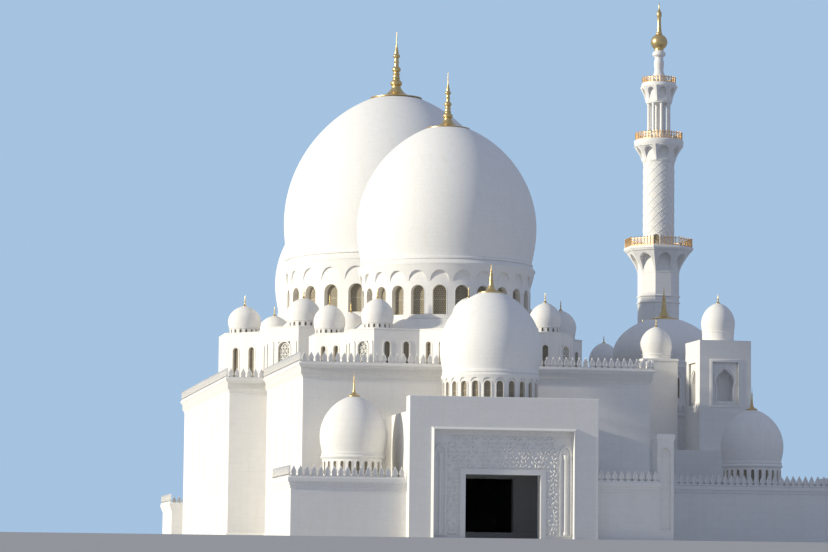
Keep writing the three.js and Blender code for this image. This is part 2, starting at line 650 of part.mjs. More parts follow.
// The open stage below the crown: a core between a ring of posts, on a foot and under a head.
function lanternBody(x, y) {
  const foot = 79.4 + GAP;
  const post = [[0, foot], [0.34, foot], [0.34, 86.5], [0, 86.5]];
  const core = [[0, foot], [1.35, foot], [1.35, 86.5], [0, 86.5]];
  const sill = [[0, foot], [2.5, foot], [2.5, foot + 1.1], [0, foot + 1.1]];
  const head = [[0, 86.0], [2.5, 86.0], [2.5, 86.9], [0, 86.9]];
  const bodies = [turned(sill, 16, x, y), turned(head, 16, x, y), turned(core, 8, x, y)];
  for (let i = 0; i < 8; i += 1) {
    const angle = i * 45 * DEGREE;
    bodies.push(turned(post, 5, x + 2.05 * Math.cos(angle), y + 2.05 * Math.sin(angle)));
  }
  return join(bodies);
}

const mosque = new THREE.Group();
mosque.name = 'mosque';
mosque.add(...hallPieces());
mosque.add(...domedStorey('south', SIDE_DOME, -DOME_SPACING, [0, 2, 3]));
mosque.add(...domedStorey('centre', CENTRE_DOME, 0, [0, 1, 2, 3]));
mosque.add(...domedStorey('north', SIDE_DOME, DOME_SPACING, [0, 1, 2]));
for (const [name, body, material] of [...porchPieces(), ...annexPieces()]) {
  mosque.add(piece(`${name}_south`, body, material));
  mosque.add(piece(`${name}_north`, body.mirror([0, 1, 0]), material));
}
mosque.add(...eastPieces());
for (const [name, side, end] of [['south', -1, ARCADE.end], ['north', 1, ARCADE.northEnd]]) {
  mosque.add(piece(`turret_${name}`, turret(side), marble));
  mosque.add(piece(`corner_pier_${name}`, cornerPier(side), marble));
  mosque.add(piece(`arcade_${name}`, arcade(end, side), marble));
}
mosque.add(...minaretPieces());

export default mosque;
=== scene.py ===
"""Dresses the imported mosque: fine stone surfaces, window lattices, merlons, gilding, light, camera.

Sizes are written in metres of the real building. METRE turns them into metres of the 1:10 model.
Loose shapes use wall coordinates: along the wall to the right, up, and out of the wall.
"""
import functools
import math

import bpy
import numpy as np
from mathutils import Euler, Matrix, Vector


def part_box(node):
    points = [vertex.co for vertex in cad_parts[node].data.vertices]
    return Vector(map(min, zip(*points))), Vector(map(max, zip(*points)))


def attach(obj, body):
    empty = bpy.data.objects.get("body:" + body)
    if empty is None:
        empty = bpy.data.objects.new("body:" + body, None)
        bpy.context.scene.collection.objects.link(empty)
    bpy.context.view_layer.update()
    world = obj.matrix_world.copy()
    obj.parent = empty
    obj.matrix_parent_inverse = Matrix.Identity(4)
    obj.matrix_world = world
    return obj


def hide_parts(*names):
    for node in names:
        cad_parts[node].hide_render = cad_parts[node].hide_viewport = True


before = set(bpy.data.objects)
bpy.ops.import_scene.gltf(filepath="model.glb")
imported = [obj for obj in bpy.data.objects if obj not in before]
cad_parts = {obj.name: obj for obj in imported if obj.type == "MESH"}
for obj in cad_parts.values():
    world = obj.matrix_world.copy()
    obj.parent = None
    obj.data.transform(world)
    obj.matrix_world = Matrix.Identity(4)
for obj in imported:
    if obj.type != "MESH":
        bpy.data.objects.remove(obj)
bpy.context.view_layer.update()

bl_info = {
    "name": "Domed marble mosque",
    "version": (1, 0, 0),
    "blender": (4, 5, 0),
    "location": "3D View > Sidebar > Mosque",
    "description": "Builds the stonework, windows, gilding and stage of a domed mosque model",
    "category": "Add Mesh",
}

METRE = 0.1
TURN = 2 * math.pi

# Finishes by number, in the order of their material slots on each piece
STONE, REVEAL, PANE, LATTICE, SCREEN = range(5)


def span(node):
    """The lowest and the highest corner of a frame node, in metres of the real building."""
    low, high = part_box(node)
    return np.array(low) / METRE, np.array(high) / METRE


def levels(node):
    """The lowest and the highest height of a frame node."""
    low, high = span(node)
    return low[2], high[2]


def axis_of(node):
    """The plan position of a node's upright axis."""
    low, high = span(node)
    return (low[:2] + high[:2]) / 2


def drum_nodes(drum):
    """A big round wall comes in thirds in the frame, a small one is whole."""
    thirds = tuple(f"{drum}_{side}_third" for side in ("north", "west", "south"))
    return thirds if thirds[0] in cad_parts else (drum,)


Length = functools.partial(bpy.props.FloatProperty, unit="LENGTH")
Colour = functools.partial(bpy.props.FloatVectorProperty, subtype="COLOR", size=3)


class MosqueSizes(bpy.types.PropertyGroup):
    """Sizes a user may change, in metres of the real building."""

    merlon_pitch: Length(
        name="Merlon pitch", description="Distance between two merlons", default=0.985)
    merlon_height: Length(name="Merlon height", description="Height of a merlon", default=1.66)
    merlon_depth: Length(name="Merlon depth", description="Thickness of a merlon", default=0.3)
    lattice_pitch: Length(
        name="Lattice pitch", description="Distance between lattice bars", default=0.32)
    lattice_bar: Length(name="Lattice bar", description="Width of a lattice bar", default=0.07)
    window_depth: Length(
        name="Window depth", description="Depth of a drum window's reveal", default=0.95)
    panel_width: Length(name="Panel width", description="Width of a wall panel", default=2.4)
    panel_height: Length(name="Panel height", description="Height of a wall panel", default=1.2)
    joint_width: Length(name="Joint width", description="Width of a panel joint", default=0.02)
    relief_depth: Length(
        name="Relief depth", description="How far the vines stand out", default=0.24)
    rib_width: Length(
        name="Rib width", description="Width of the shaft's crossing ribs", default=0.13)


class MosqueColours(bpy.types.PropertyGroup):
    """Colours a user may change."""

    marble: Colour(
        name="Marble", description="White wall marble", default=(0.83, 0.815, 0.785))
    dome: Colour(
        name="Dome marble", description="White marble of the domes", default=(0.85, 0.84, 0.815))
    reveal: Colour(
        name="Reveal", description="Cream stone of the window reveals",
        default=(0.74, 0.70, 0.61))
    pane: Colour(
        name="Pane", description="Grey-olive window glass", default=(0.17, 0.168, 0.13))
    lattice: Colour(
        name="Lattice", description="Stone lattice in the windows", default=(0.49, 0.43, 0.325))
    screen: Colour(
        name="Screen", description="White lattice of the upper blocks",
        default=(0.80, 0.79, 0.75))
    gold: Colour(
        name="Gold", description="Gilding", default=(0.84, 0.63, 0.29))
    railing: Colour(
        name="Railing", description="Orange-gold railing", default=(0.78, 0.51, 0.25))
    roof: Colour(
        name="Roof", description="Pale roof paving", default=(0.74, 0.72, 0.67))
    paving: Colour(
        name="Paving", description="Polished floor slabs", default=(0.66, 0.63, 0.57))
    floor: Colour(
        name="Stage floor", description="Plain pale stage", default=(0.60, 0.60, 0.59))
    sky: Colour(
        name="Sky", description="Pale blue surround light", default=(0.376, 0.546, 0.753))


def sizes():
    return bpy.context.scene.mosque_sizes


def tint(name):
    return tuple(getattr(bpy.context.scene.mosque_colours, name))


class Shape:
    """Points, and blocks of faces with equally many corners, each block with its finish."""

    def __init__(self, points, blocks):
        self.points = np.asarray(points, float)
        self.blocks = blocks

    def volume(self):
        """Sum of the tetrahedra between the middle point and a fan over every face, times six."""
        points = self.points - self.points.mean(axis=0)
        total = 0.0
        for faces, _finish in self.blocks:
            for corner in range(1, faces.shape[1] - 1):
                a, b, c = (points[faces[:, k]] for k in (0, corner, corner + 1))
                total += np.einsum("ij,ij->", a, np.cross(b, c))
        return total

    def outward(self):
        """The same closed shape with its faces turned round where its volume is negative."""
        if self.volume() < 0:
            self.blocks = [(faces[:, ::-1], finish) for faces, finish in self.blocks]
        return self

    def welded(self, step=1e-4):
        """Points that fall into the same small cell become one point."""
        cells = np.floor(self.points / step + 0.3179).astype(np.int64)
        _cell, first, index = np.unique(cells, axis=0, return_index=True, return_inverse=True)
        index = index.reshape(-1)
        self.blocks = [(index[faces], finish) for faces, finish in self.blocks]
        self.points = self.points[first]
        return self

    def painted(self, finish):
        return Shape(self.points, [(faces, finish) for faces, _old in self.blocks])

    def moved(self, x, y, z=0.0):
        return Shape(self.points + (x, y, z), self.blocks)

    def tipped(self):
        """A shape given in plan coordinates, in wall coordinates: its front, at -Y, faces out."""
        return Shape(self.points[:, [0, 2, 1]] * (1, 1, -1), self.blocks).outward()

    def at(self, turns, moves):
        """Copies of the shape, one for each turn matrix and move, as one shape."""
        turns = np.asarray(turns, float)
        moves = np.asarray(moves, float)
        points = np.einsum("mij,nj->mni", turns, self.points) + moves[:, None]
        count = len(self.points)
        shift = (np.arange(len(moves)) * count)[:, None, None]
        blocks = [((faces + shift).reshape(-1, faces.shape[1]), finish)
                  for faces, finish in self.blocks]
        return Shape(points.reshape(-1, 3), blocks)


def joined(shapes):
    """Several shapes as one, their corner numbers shifted past each other."""
    starts = np.cumsum([0] + [len(shape.points) for shape in shapes[:-1]])
    blocks = [(faces + start, finish)
              for start, shape in zip(starts, shapes) for faces, finish in shape.blocks]
    return Shape(np.concatenate([shape.points for shape in shapes]), blocks)


def plan_turns(angles):
    """Turn matrices about the upright axis."""
    c, s = np.cos(angles), np.sin(angles)
    o, i = np.zeros_like(c), np.ones_like(c)
    return np.moveaxis(np.array([(c, -s, o), (s, c, o), (o, o, i)]), -1, 0)


def wall_turns(angles):
    """Matrices from wall coordinates to the plan, the wall facing each angle."""
    return plan_turns(angles) @ np.array([(0, 0, 1), (1, 0, 0), (0, 1, 0)])


def around(shape, count):
    """Equal copies round the upright axis at the origin."""
    return shape.at(plan_turns(np.arange(count) * TURN / count), np.zeros((count, 3)))


def on_walls(shape, places):
    """Copies of a shape in wall coordinates; each place is x, y, z and the angle it faces."""
    places = np.asarray(places, float).reshape(-1, 4)
    return shape.at(wall_turns(places[:, 3]), places[:, :3])


def skin(loops, wrap=False, finishes=STONE, caps=True):
    """A surface through a stack of loops of equally many points. Flat faces close the ends, or a
    fan where a loop has shrunk to a point. With wrap the last loop joins the first."""
    loops = np.asarray(loops, float)
    rows, count = loops.shape[:2]
    index = np.arange(rows * count).reshape(rows, count)
    for end in (0, -1):
        if not wrap and np.ptp(loops[end], axis=0).max() < 1e-6:
            index[end] = index[end, 0]
    steps = rows if wrap else rows - 1
    if np.isscalar(finishes):
        finishes = [finishes] * (steps + 2)
    blocks = []
    for i in range(steps):
        a, b = index[i], index[(i + 1) % rows]
        next_a, next_b = np.roll(a, -1), np.roll(b, -1)
        if a[0] == a[-1]:
            faces = np.stack([a, next_b, b], -1)
        elif b[0] == b[-1]:
            faces = np.stack([a, next_a, b], -1)
        else:
            faces = np.stack([a, next_a, next_b, b], -1)
        blocks.append((faces, finishes[i]))
    if not wrap and caps:
        for end, face in ((0, index[0][::-1]), (-1, index[-1])):
            if face[0] != face[-1]:
                blocks.append((face[None], finishes[steps + (end == 0)] if len(finishes) > steps
                               else finishes[end]))
    return Shape(loops.reshape(-1, 3), blocks)


def lathe(profile, segments, centre=(0.0, 0.0), foot=0.0, start=0.0, ring=False):
    """Radius and height pairs turned about an upright axis, the heights from a foot. Ends on the
    axis close as fans, and a ring's profile joins its own start."""
    profile = np.asarray(profile, float)
    angles = start + np.arange(segments) * TURN / segments
    x = centre[0] + profile[:, :1] * np.cos(angles)
    y = centre[1] + profile[:, :1] * np.sin(angles)
    z = np.repeat(profile[:, 1:] + foot, segments, axis=1)
    return skin(np.stack([x, y, z], -1), wrap=ring).outward()


def octagon(profile, foot=0.0):
    """An eight-sided body whose profile gives the reach of its flat faces."""
    half_side = TURN / 16
    return lathe(np.array(profile) / (math.cos(half_side), 1), 8, foot=foot, start=half_side)


def columns(*values):
    """Points from lists of coordinates, and from single numbers that all of them share."""
    return np.column_stack(np.broadcast_arrays(*values))


def lifted(outline, value):
    """Points of a plane, all given the same third coordinate."""
    return np.column_stack([outline, np.full(len(outline), value)])


def stacked(levels, **options):
    """A body skinned in order through outlines, each given with its third coordinate."""
    return skin([lifted(*level) for level in levels], **options).outward()


def swept(lines_and_depths):
    """A body carried along lines of a wall: every corner of its section follows one line, at its
    own depth."""
    return skin(np.stack([lifted(*line) for line in lines_and_depths], axis=1)).outward()


def rectangle(x0, x1, y0, y1):
    return np.array([(x0, y0), (x1, y0), (x1, y1), (x0, y1)], float)


def prism(outline, low, high):
    """A plan outline raised between two heights."""
    return stacked([(outline, low), (outline, high)])


def block(x0, x1, y0, y1, z0, z1):
    return prism(rectangle(x0, x1, y0, y1), z0, z1)


def offset_plan(plan, offset):
    """A closed plan grown by an offset, each corner moved along its mitre."""
    plan = np.asarray(plan, float)
    along = np.roll(plan, -1, axis=0) - plan
    along /= np.linalg.norm(along, axis=1, keepdims=True)
    normal = np.column_stack([along[:, 1], -along[:, 0]])
    before = np.roll(normal, 1, axis=0)
    mitre = normal + before
    return plan + offset * 2 * mitre / np.sum(mitre * mitre, axis=1, keepdims=True)


def moulding(plan, profile, height=0.0):
    """A closed profile of offset and height carried round a closed plan with mitred corners."""
    return stacked([(offset_plan(plan, offset), height + z) for offset, z in profile], wrap=True)


def net(index):
    """Four-cornered faces between neighbours in a grid of point numbers."""
    corners = (index[:-1, :-1], index[:-1, 1:], index[1:, 1:], index[1:, :-1])
    return np.stack(corners, -1).reshape(-1, 4)


def arch_line(steps, point):
    """An arch from right to left, half as wide as its rise is high: a half circle, mixed by point
    with a curve that comes to a point at the crown. Gives its places across and its heights."""
    across = np.cos(np.linspace(0, math.pi, steps + 1))
    rise = (1 - point) * np.sqrt(np.clip(1 - across ** 2, 0, 1))
    return across, rise + point * np.clip(1 - np.abs(across), 0, 1) ** 0.6


def arch_loop(half, foot, spring, head, point=0.0, steps=(4, 3, 12)):
    """An arched outline, counter-clockwise from its lower left corner."""
    base, side, crown = steps
    across, rise = arch_line(crown, point)
    up = np.linspace(foot, spring, side + 1)[:-1]
    down = np.linspace(spring, foot, side + 1)[1:-1]
    bottom = np.linspace(-half, half, base + 1)[:-1]
    return np.concatenate([columns(bottom, foot), columns(half, up),
                           columns(half * across, spring + (head - spring) * rise),
                           columns(-half, down)])


def clipped(outline, starts, directions):
    """Where lines enter and leave a convex outline: the last entry and the first exit among its
    edges' half planes. Gives both ends and which lines cross it at all."""
    edge = np.roll(outline, -1, axis=0) - outline
    inward = np.column_stack([-edge[:, 1], edge[:, 0]])
    rate = directions @ inward.T
    gap = np.einsum("ek,lek->le", inward, starts[:, None] - outline[None])
    with np.errstate(divide="ignore", invalid="ignore"):
        t = -gap / rate
    enter = np.where(rate > 1e-9, t, -np.inf).max(axis=1)
    leave = np.where(rate < -1e-9, t, np.inf).min(axis=1)
    parallel_out = ((np.abs(rate) <= 1e-9) & (gap < 0)).any(axis=1)
    keep = (leave - enter > 0.08) & ~parallel_out
    return starts + enter[:, None] * directions, starts + leave[:, None] * directions, keep


def flat_bars(starts, ends, width, back, front):
    """Straight bars between points of a wall plane, as thin boxes."""
    along = ends - starts
    along = along / np.linalg.norm(along, axis=1, keepdims=True)
    side = np.column_stack([-along[:, 1], along[:, 0]]) * width / 2
    plan = np.stack([starts - side, ends - side, ends + side, starts + side], axis=1)
    depth = np.stack([np.full(plan.shape[:2], d) for d in (back, front)], axis=1)
    points = np.concatenate([np.repeat(plan[:, None], 2, axis=1), depth[..., None]], axis=-1)
    cell = np.array([[0, 3, 2, 1], [4, 5, 6, 7], [0, 1, 5, 4], [1, 2, 6, 5], [2, 3, 7, 6],
                     [3, 0, 4, 7]])
    faces = (np.arange(len(starts)) * 8)[:, None, None] + cell
    return Shape(points.reshape(-1, 3), [(faces.reshape(-1, 4), LATTICE)])


def lattice(outline, pitch, width, back, front, angles=(0, 60, 120), middle_bar=None):
    """Families of parallel bars at the given angles, cut off at a convex outline."""
    outline = np.asarray(outline, float)
    middle = (outline.min(axis=0) + outline.max(axis=0)) / 2
    reach = np.linalg.norm(np.ptp(outline, axis=0)) / 2
    offsets = np.arange(-math.ceil(reach / pitch), math.ceil(reach / pitch) + 1) * pitch
    starts, directions = [], []
    for angle in np.radians(angles):
        direction = np.array([math.cos(angle), math.sin(angle)])
        normal = np.array([-direction[1], direction[0]])
        starts.append(middle + offsets[:, None] * normal)
        directions.append(np.tile(direction, (len(offsets), 1)))
    first, last, keep = clipped(outline, np.concatenate(starts), np.concatenate(directions))
    shapes = [flat_bars(first[keep], last[keep], width, back, front)]
    if middle_bar is not None:
        left, right = outline[:, 0].min(), outline[:, 0].max()
        shapes.append(flat_bars(np.array([[left, middle_bar]]), np.array([[right, middle_bar]]),
                                width * 1.6, back, front + 0.03))
    return joined(shapes)


def make_piece(name, shapes, replaces=(), centre=(0.0, 0.0), sharp=32.0, materials=None,
               slot="marble"):
    """Makes one mesh object of closed shapes given in metres of the real building about a centre.
    It puts all points and faces into the mesh with foreach_set, drops unused points, shades
    smoothly up to the sharp angle, and hands the object to the frame."""
    whole = joined([shape.moved(*centre) for shape in shapes])
    used = np.unique(np.concatenate([faces.ravel() for faces, _finish in whole.blocks]))
    place = np.full(len(whole.points), -1)
    place[used] = np.arange(len(used))
    points = whole.points[used] * METRE
    corners = np.concatenate([place[faces].ravel() for faces, _finish in whole.blocks])
    sides = np.concatenate([np.full(len(faces), faces.shape[1]) for faces, _finish in whole.blocks])
    finish = np.concatenate([np.full(len(faces), number) for faces, number in whole.blocks])
    mesh = bpy.data.meshes.new(name)
    mesh.vertices.add(len(points))
    mesh.vertices.foreach_set("co", points.ravel())
    mesh.loops.add(len(corners))
    mesh.loops.foreach_set("vertex_index", corners)
    mesh.polygons.add(len(sides))
    mesh.polygons.foreach_set("loop_start", np.concatenate([[0], np.cumsum(sides)[:-1]]))
    mesh.polygons.foreach_set("loop_total", sides)
    for material in materials or wall_finishes():
        mesh.materials.append(material)
    last_slot = len(mesh.materials) - 1
    mesh.polygons.foreach_set("material_index", np.minimum(finish, last_slot))
    mesh.polygons.foreach_set("use_smooth", np.ones(len(sides), bool))
    mesh.update(calc_edges=True)
    mesh.set_sharp_from_angle(angle=math.radians(sharp))
    if mesh.validate():
        raise RuntimeError(f"{name} had faces that Blender had to mend")
    piece = bpy.data.objects.new(name, mesh)
    bpy.context.scene.collection.objects.link(piece)
    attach(piece, "root")
    if replaces:
        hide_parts(*replaces)


# Materials


def put(tree, kind, settings=None, inputs=None):
    """A shader node with its settings, and its inputs as values or links."""
    made = tree.nodes.new(kind)
    for name, value in (settings or {}).items():
        setattr(made, name, value)
    for name, value in (inputs or {}).items():
        if isinstance(value, bpy.types.NodeSocket):
            tree.links.new(value, made.inputs[name])
        else:
            made.inputs[name].default_value = value
    return made


def math_node(tree, operation, *values, clamp=False):
    settings = {"operation": operation, "use_clamp": clamp}
    return put(tree, "ShaderNodeMath", settings, dict(enumerate(values))).outputs[0]


def times(tree, value, factor):
    return math_node(tree, "MULTIPLY", value, factor)


def noise(tree, place, scale, detail, **more):
    """A noise mask over a place."""
    inputs = {"Vector": place, "Scale": scale, "Detail": detail, **more}
    return put(tree, "ShaderNodeTexNoise", None, inputs).outputs["Fac"]


def new_group(name, inputs, outputs):
    """An empty shader node group and its two end nodes. It takes a place and numbers, and gives
    out masks."""
    group = bpy.data.node_groups.new(name, "ShaderNodeTree")
    group.interface.new_socket("Place", in_out="INPUT", socket_type="NodeSocketVector")
    for label, value in inputs.items():
        socket = group.interface.new_socket(label, in_out="INPUT", socket_type="NodeSocketFloat")
        socket.default_value = value
    for label in outputs:
        group.interface.new_socket(label, in_out="OUTPUT", socket_type="NodeSocketFloat")
    return group, group.nodes.new("NodeGroupInput"), group.nodes.new("NodeGroupOutput")


def panel_group():
    """Masks of stone panels: brick courses over two coordinates, their joints, and a tone that
    differs from panel to panel."""
    group, start, end = new_group(
        "Stone panels", {"Panel width": 1.5, "Panel height": 0.75, "Joint width": 0.02},
        ("Joint", "Tone"))
    brick = put(group, "ShaderNodeTexBrick", {"offset": 0.5}, {
        "Vector": start.outputs["Place"], "Color1": (0, 0, 0, 1), "Color2": (1, 1, 1, 1),
        "Mortar": (0.5, 0.5, 0.5, 1), "Scale": 1.0, "Mortar Size": start.outputs["Joint width"],
        "Mortar Smooth": 0.3, "Brick Width": start.outputs["Panel width"],
        "Row Height": start.outputs["Panel height"]})
    group.links.new(brick.outputs["Fac"], end.inputs["Joint"])
    group.links.new(brick.outputs["Color"], end.inputs["Tone"])
    return group


def vein_group():
    """Marble masks: soft clouds, and thin veins where a warped noise crosses its middle value."""
    group, start, end = new_group("Marble veins", {"Scale": 0.35}, ("Vein", "Cloud"))
    place, scale = start.outputs["Place"], start.outputs["Scale"]
    cloud = noise(group, place, scale, 4.0, Roughness=0.55)
    warped = noise(group, place, times(group, scale, 2.3), 5.0, Distortion=1.6)
    off = math_node(group, "ABSOLUTE", math_node(group, "SUBTRACT", warped, 0.5))
    vein = math_node(group, "SUBTRACT", 1.0, times(group, off, 24.0), clamp=True)
    group.links.new(vein, end.inputs["Vein"])
    group.links.new(cloud, end.inputs["Cloud"])
    return group


def weather_group():
    """Dust masks: streaks drawn out downwards, and fine grain."""
    group, start, end = new_group("Weathering", {}, ("Streak", "Grain"))
    place = start.outputs["Place"]
    tall = put(group, "ShaderNodeMapping", None, {"Vector": place, "Scale": (1.1, 1.1, 0.09)})
    streak = noise(group, tall.outputs["Vector"], 1.0, 3.0)
    ramp = put(group, "ShaderNodeMapRange", None,
               {"Value": streak, "From Min": 0.48, "From Max": 0.75})
    group.links.new(ramp.outputs["Result"], end.inputs["Streak"])
    group.links.new(noise(group, place, 9.0, 3.0), end.inputs["Grain"])
    return group


def group_node(tree, name, inputs):
    """A node of a shared group, which is built the first time it is asked for."""
    makers = {"Stone panels": panel_group, "Marble veins": vein_group, "Weathering": weather_group}
    group = bpy.data.node_groups.get(name) or makers[name]()
    return put(tree, "ShaderNodeGroup", {"node_tree": group}, inputs)


def start_material(name):
    """A material with its shader, and object coordinates in metres of the real building."""
    material = bpy.data.materials.new(name)
    material.use_nodes = True
    tree = material.node_tree
    shader = tree.nodes["Principled BSDF"]
    places = tree.nodes.new("ShaderNodeTexCoord")
    real = put(tree, "ShaderNodeVectorMath", {"operation": "SCALE"},
               {0: places.outputs["Object"], "Scale": 1 / METRE})
    return material, tree, shader, places, real.outputs[0]


def wall_place(tree, places, real):
    """Wall coordinates of a flat wall: how far along its level tangent, and the height."""
    tangent = put(tree, "ShaderNodeVectorMath", {"operation": "CROSS_PRODUCT"},
                  {0: (0, 0, 1), 1: places.outputs["Normal"]})
    unit = put(tree, "ShaderNodeVectorMath", {"operation": "NORMALIZE"}, {0: tangent.outputs[0]})
    along = put(tree, "ShaderNodeVectorMath", {"operation": "DOT_PRODUCT"},
                {0: unit.outputs[0], 1: real})
    height = put(tree, "ShaderNodeSeparateXYZ", None, {0: real}).outputs["Z"]
    placed = put(tree, "ShaderNodeCombineXYZ", None, {"X": along.outputs["Value"], "Y": height})
    return placed.outputs[0]


def round_place(tree, real, centre, radius, pole_height=None):
    """Coordinates of a round wall: the arc about its axis, and the height. On a dome the second
    is the arc up from the height of its widest ring."""
    moved = put(tree, "ShaderNodeMapping", None,
                {"Vector": real, "Location": (-centre[0], -centre[1], -(pole_height or 0.0))})
    axes = put(tree, "ShaderNodeSeparateXYZ", None, {0: moved.outputs[0]})
    angle = math_node(tree, "ARCTAN2", axes.outputs["Y"], axes.outputs["X"])
    along = times(tree, angle, radius)
    height = axes.outputs["Z"]
    if pole_height is not None:
        squares = [math_node(tree, "POWER", axes.outputs[name], 2.0) for name in ("X", "Y")]
        level = math_node(tree, "SQRT", math_node(tree, "ADD", *squares))
        height = times(tree, math_node(tree, "ARCTAN2", height, level), radius)
    return put(tree, "ShaderNodeCombineXYZ", None, {"X": along, "Y": height}).outputs[0]


def mixed(tree, factor, first, second):
    """A colour mix; colours given as three numbers become constants."""
    first, second = (colour if isinstance(colour, bpy.types.NodeSocket) else (*colour, 1.0)
                     for colour in (first, second))
    node = put(tree, "ShaderNodeMix", {"data_type": "RGBA"}, {0: factor, 6: first, 7: second})
    return node.outputs[2]


def wired(tree, shader, colour, roughness, bump, **fixed):
    """Links colour, roughness and a bump of strength, distance and height to the shader, and sets
    the values that are the same all over."""
    bumped = put(tree, "ShaderNodeBump", None, dict(zip(("Strength", "Distance", "Height"), bump)))
    for name, value in (("Base Color", colour), ("Roughness", roughness),
                        ("Normal", bumped.outputs["Normal"])):
        tree.links.new(value, shader.inputs[name])
    for name, value in fixed.items():
        shader.inputs[name.replace("_", " ")].default_value = value


def shaded(colour, share):
    """A colour times one share, or a share for each channel."""
    return tuple(np.multiply(colour, share))


def stone_material(name, colour, place_of, panel=None, roughness=0.62, joint_share=0.88,
                   tone_share=0.975, joint_depth=0.008):
    """Polished stone: panels that differ slightly in tone, faint veins and clouds, dust streaks,
    and joints pressed in a little."""
    material, tree, shader, places, real = start_material(name)
    width, height, joint = panel or (sizes().panel_width, sizes().panel_height, sizes().joint_width)
    panels = group_node(tree, "Stone panels", {
        "Place": place_of(tree, places, real), "Panel width": width, "Panel height": height,
        "Joint width": joint})
    veins = group_node(tree, "Marble veins", {"Place": real})
    weather = group_node(tree, "Weathering", {"Place": real})
    tone = mixed(tree, panels.outputs["Tone"], shaded(colour, tone_share), colour)
    joint, grain = panels.outputs["Joint"], weather.outputs["Grain"]
    grey, dust = shaded(colour, (0.72, 0.74, 0.78)), shaded(colour, (0.84, 0.80, 0.72))
    cloud = mixed(tree, times(tree, veins.outputs["Cloud"], 0.12), tone, shaded(colour, 0.8))
    veined = mixed(tree, times(tree, veins.outputs["Vein"], 0.16), cloud, grey)
    dusty = mixed(tree, times(tree, weather.outputs["Streak"], 0.16), veined, dust)
    jointed = mixed(tree, times(tree, joint, 1 - joint_share), dusty, shaded(colour, 0.35))
    rough = math_node(tree, "MULTIPLY_ADD", grain, 0.16, roughness - 0.08)
    rough = math_node(tree, "MULTIPLY_ADD", joint, 0.2, rough)
    raised = math_node(tree, "SUBTRACT", times(tree, grain, 0.06), joint)
    wired(tree, shader, jointed, rough, (0.5, joint_depth * METRE, raised), Specular_IOR_Level=0.25)
    return material


def wall_marble(name):
    return stone_material(name, tint("marble"), wall_place)


def round_marble(name, centre, radius, panels):
    """Wall marble whose panels run round an upright axis, a whole number of them."""
    panel = (TURN * radius / panels, sizes().panel_height, sizes().joint_width)

    def place_of(tree, _places, real):
        return round_place(tree, real, centre, radius)

    return stone_material(name, tint("marble"), place_of, panel)


def dome_marble(name, centre, radius, wide, tiles):
    """Marble tiles in rows that follow the curve of a dome."""
    tile = TURN * radius / tiles
    panel = (tile, tile * 0.75, 0.02)

    def place_of(tree, _places, real):
        return round_place(tree, real, centre, radius, wide)

    return stone_material(name, tint("dome"), place_of, panel, roughness=0.6, joint_share=0.92,
                          tone_share=0.985, joint_depth=0.004)


def level_place(_tree, _places, real):
    return real


def plain_stone(name, colour, panel=(1.0, 1.0, 0.015), roughness=0.6):
    return stone_material(name, colour, level_place, panel, roughness)


def pane_material(name):
    """Dim glass with a little ripple and streaks of dust."""
    material, tree, shader, _places, real = start_material(name)
    weather = group_node(tree, "Weathering", {"Place": real})
    ripple = noise(tree, real, 0.8, 2.0)
    colour = tint("pane")
    tone = mixed(tree, weather.outputs["Streak"], colour, shaded(colour, 1.5))
    wired(tree, shader, mixed(tree, ripple, tone, shaded(colour, 0.75)),
          math_node(tree, "MULTIPLY_ADD", weather.outputs["Grain"], 0.14, 0.12),
          (0.2, 0.002, ripple))
    return material


def metal_material(name, colour, roughness=0.28):
    """Gilded metal: clouded tone, dull patches and fine hammering."""
    material, tree, shader, _places, real = start_material(name)
    weather = group_node(tree, "Weathering", {"Place": real})
    veins = group_node(tree, "Marble veins", {"Place": real, "Scale": 1.2})
    tone = mixed(tree, veins.outputs["Cloud"], colour, shaded(colour, 0.62))
    dull = times(tree, weather.outputs["Streak"], 0.35)
    wired(tree, shader, mixed(tree, dull, tone, shaded(colour, 0.5)),
          math_node(tree, "MULTIPLY_ADD", weather.outputs["Grain"], 0.24, roughness - 0.06),
          (0.25, 0.002, weather.outputs["Grain"]), Metallic=0.85)
    return material


def kept(maker, name, *values):
    """A material that pieces share, made the first time it is asked for."""
    return bpy.data.materials.get(name) or maker(name, *values)


def wall_finishes():
    """The materials of a wall piece, in the order of the finish numbers."""
    return [kept(wall_marble, "wall_marble"),
            kept(plain_stone, "reveal_stone", tint("reveal")),
            kept(pane_material, "window_pane"),
            kept(plain_stone, "lattice_stone", tint("lattice")),
            kept(plain_stone, "screen_stone", tint("screen"))]


def gilt(name, shape, replaces=(), sharp=32.0, centre=(0.0, 0.0)):
    """A gilded piece of one shape."""
    material = kept(metal_material, "gilding", tint("gold"))
    make_piece(name, [shape], replaces, centre, sharp, [material], "gold")


def dress(node, material):
    """Gives a frame node its material."""
    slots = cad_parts[node].data.materials
    slots.clear()
    slots.append(material)


# Domes, drums and finials


def bulb_profile(springing, spring_radius, wide, wide_radius, pole, seat, steps):
    """Radius and height of a dome: a smooth swell from the springing to the widest ring, then the
    radius falls as the power 0.6 of one less the height's square, up to the seat."""
    rise = np.linspace(0, 1, 7)[:-1]
    swell = wide_radius - (wide_radius - spring_radius) * (1 - np.sin(rise * math.pi / 2))
    lower = columns(swell, springing + (wide - springing) * rise)
    last = math.asin(min(1.0, (seat - wide) / (pole - wide)))
    t = np.sin(np.linspace(0, last, steps))
    upper = columns(wide_radius * (1 - t * t) ** 0.6, wide + (pole - wide) * t)
    return np.concatenate([lower, upper])


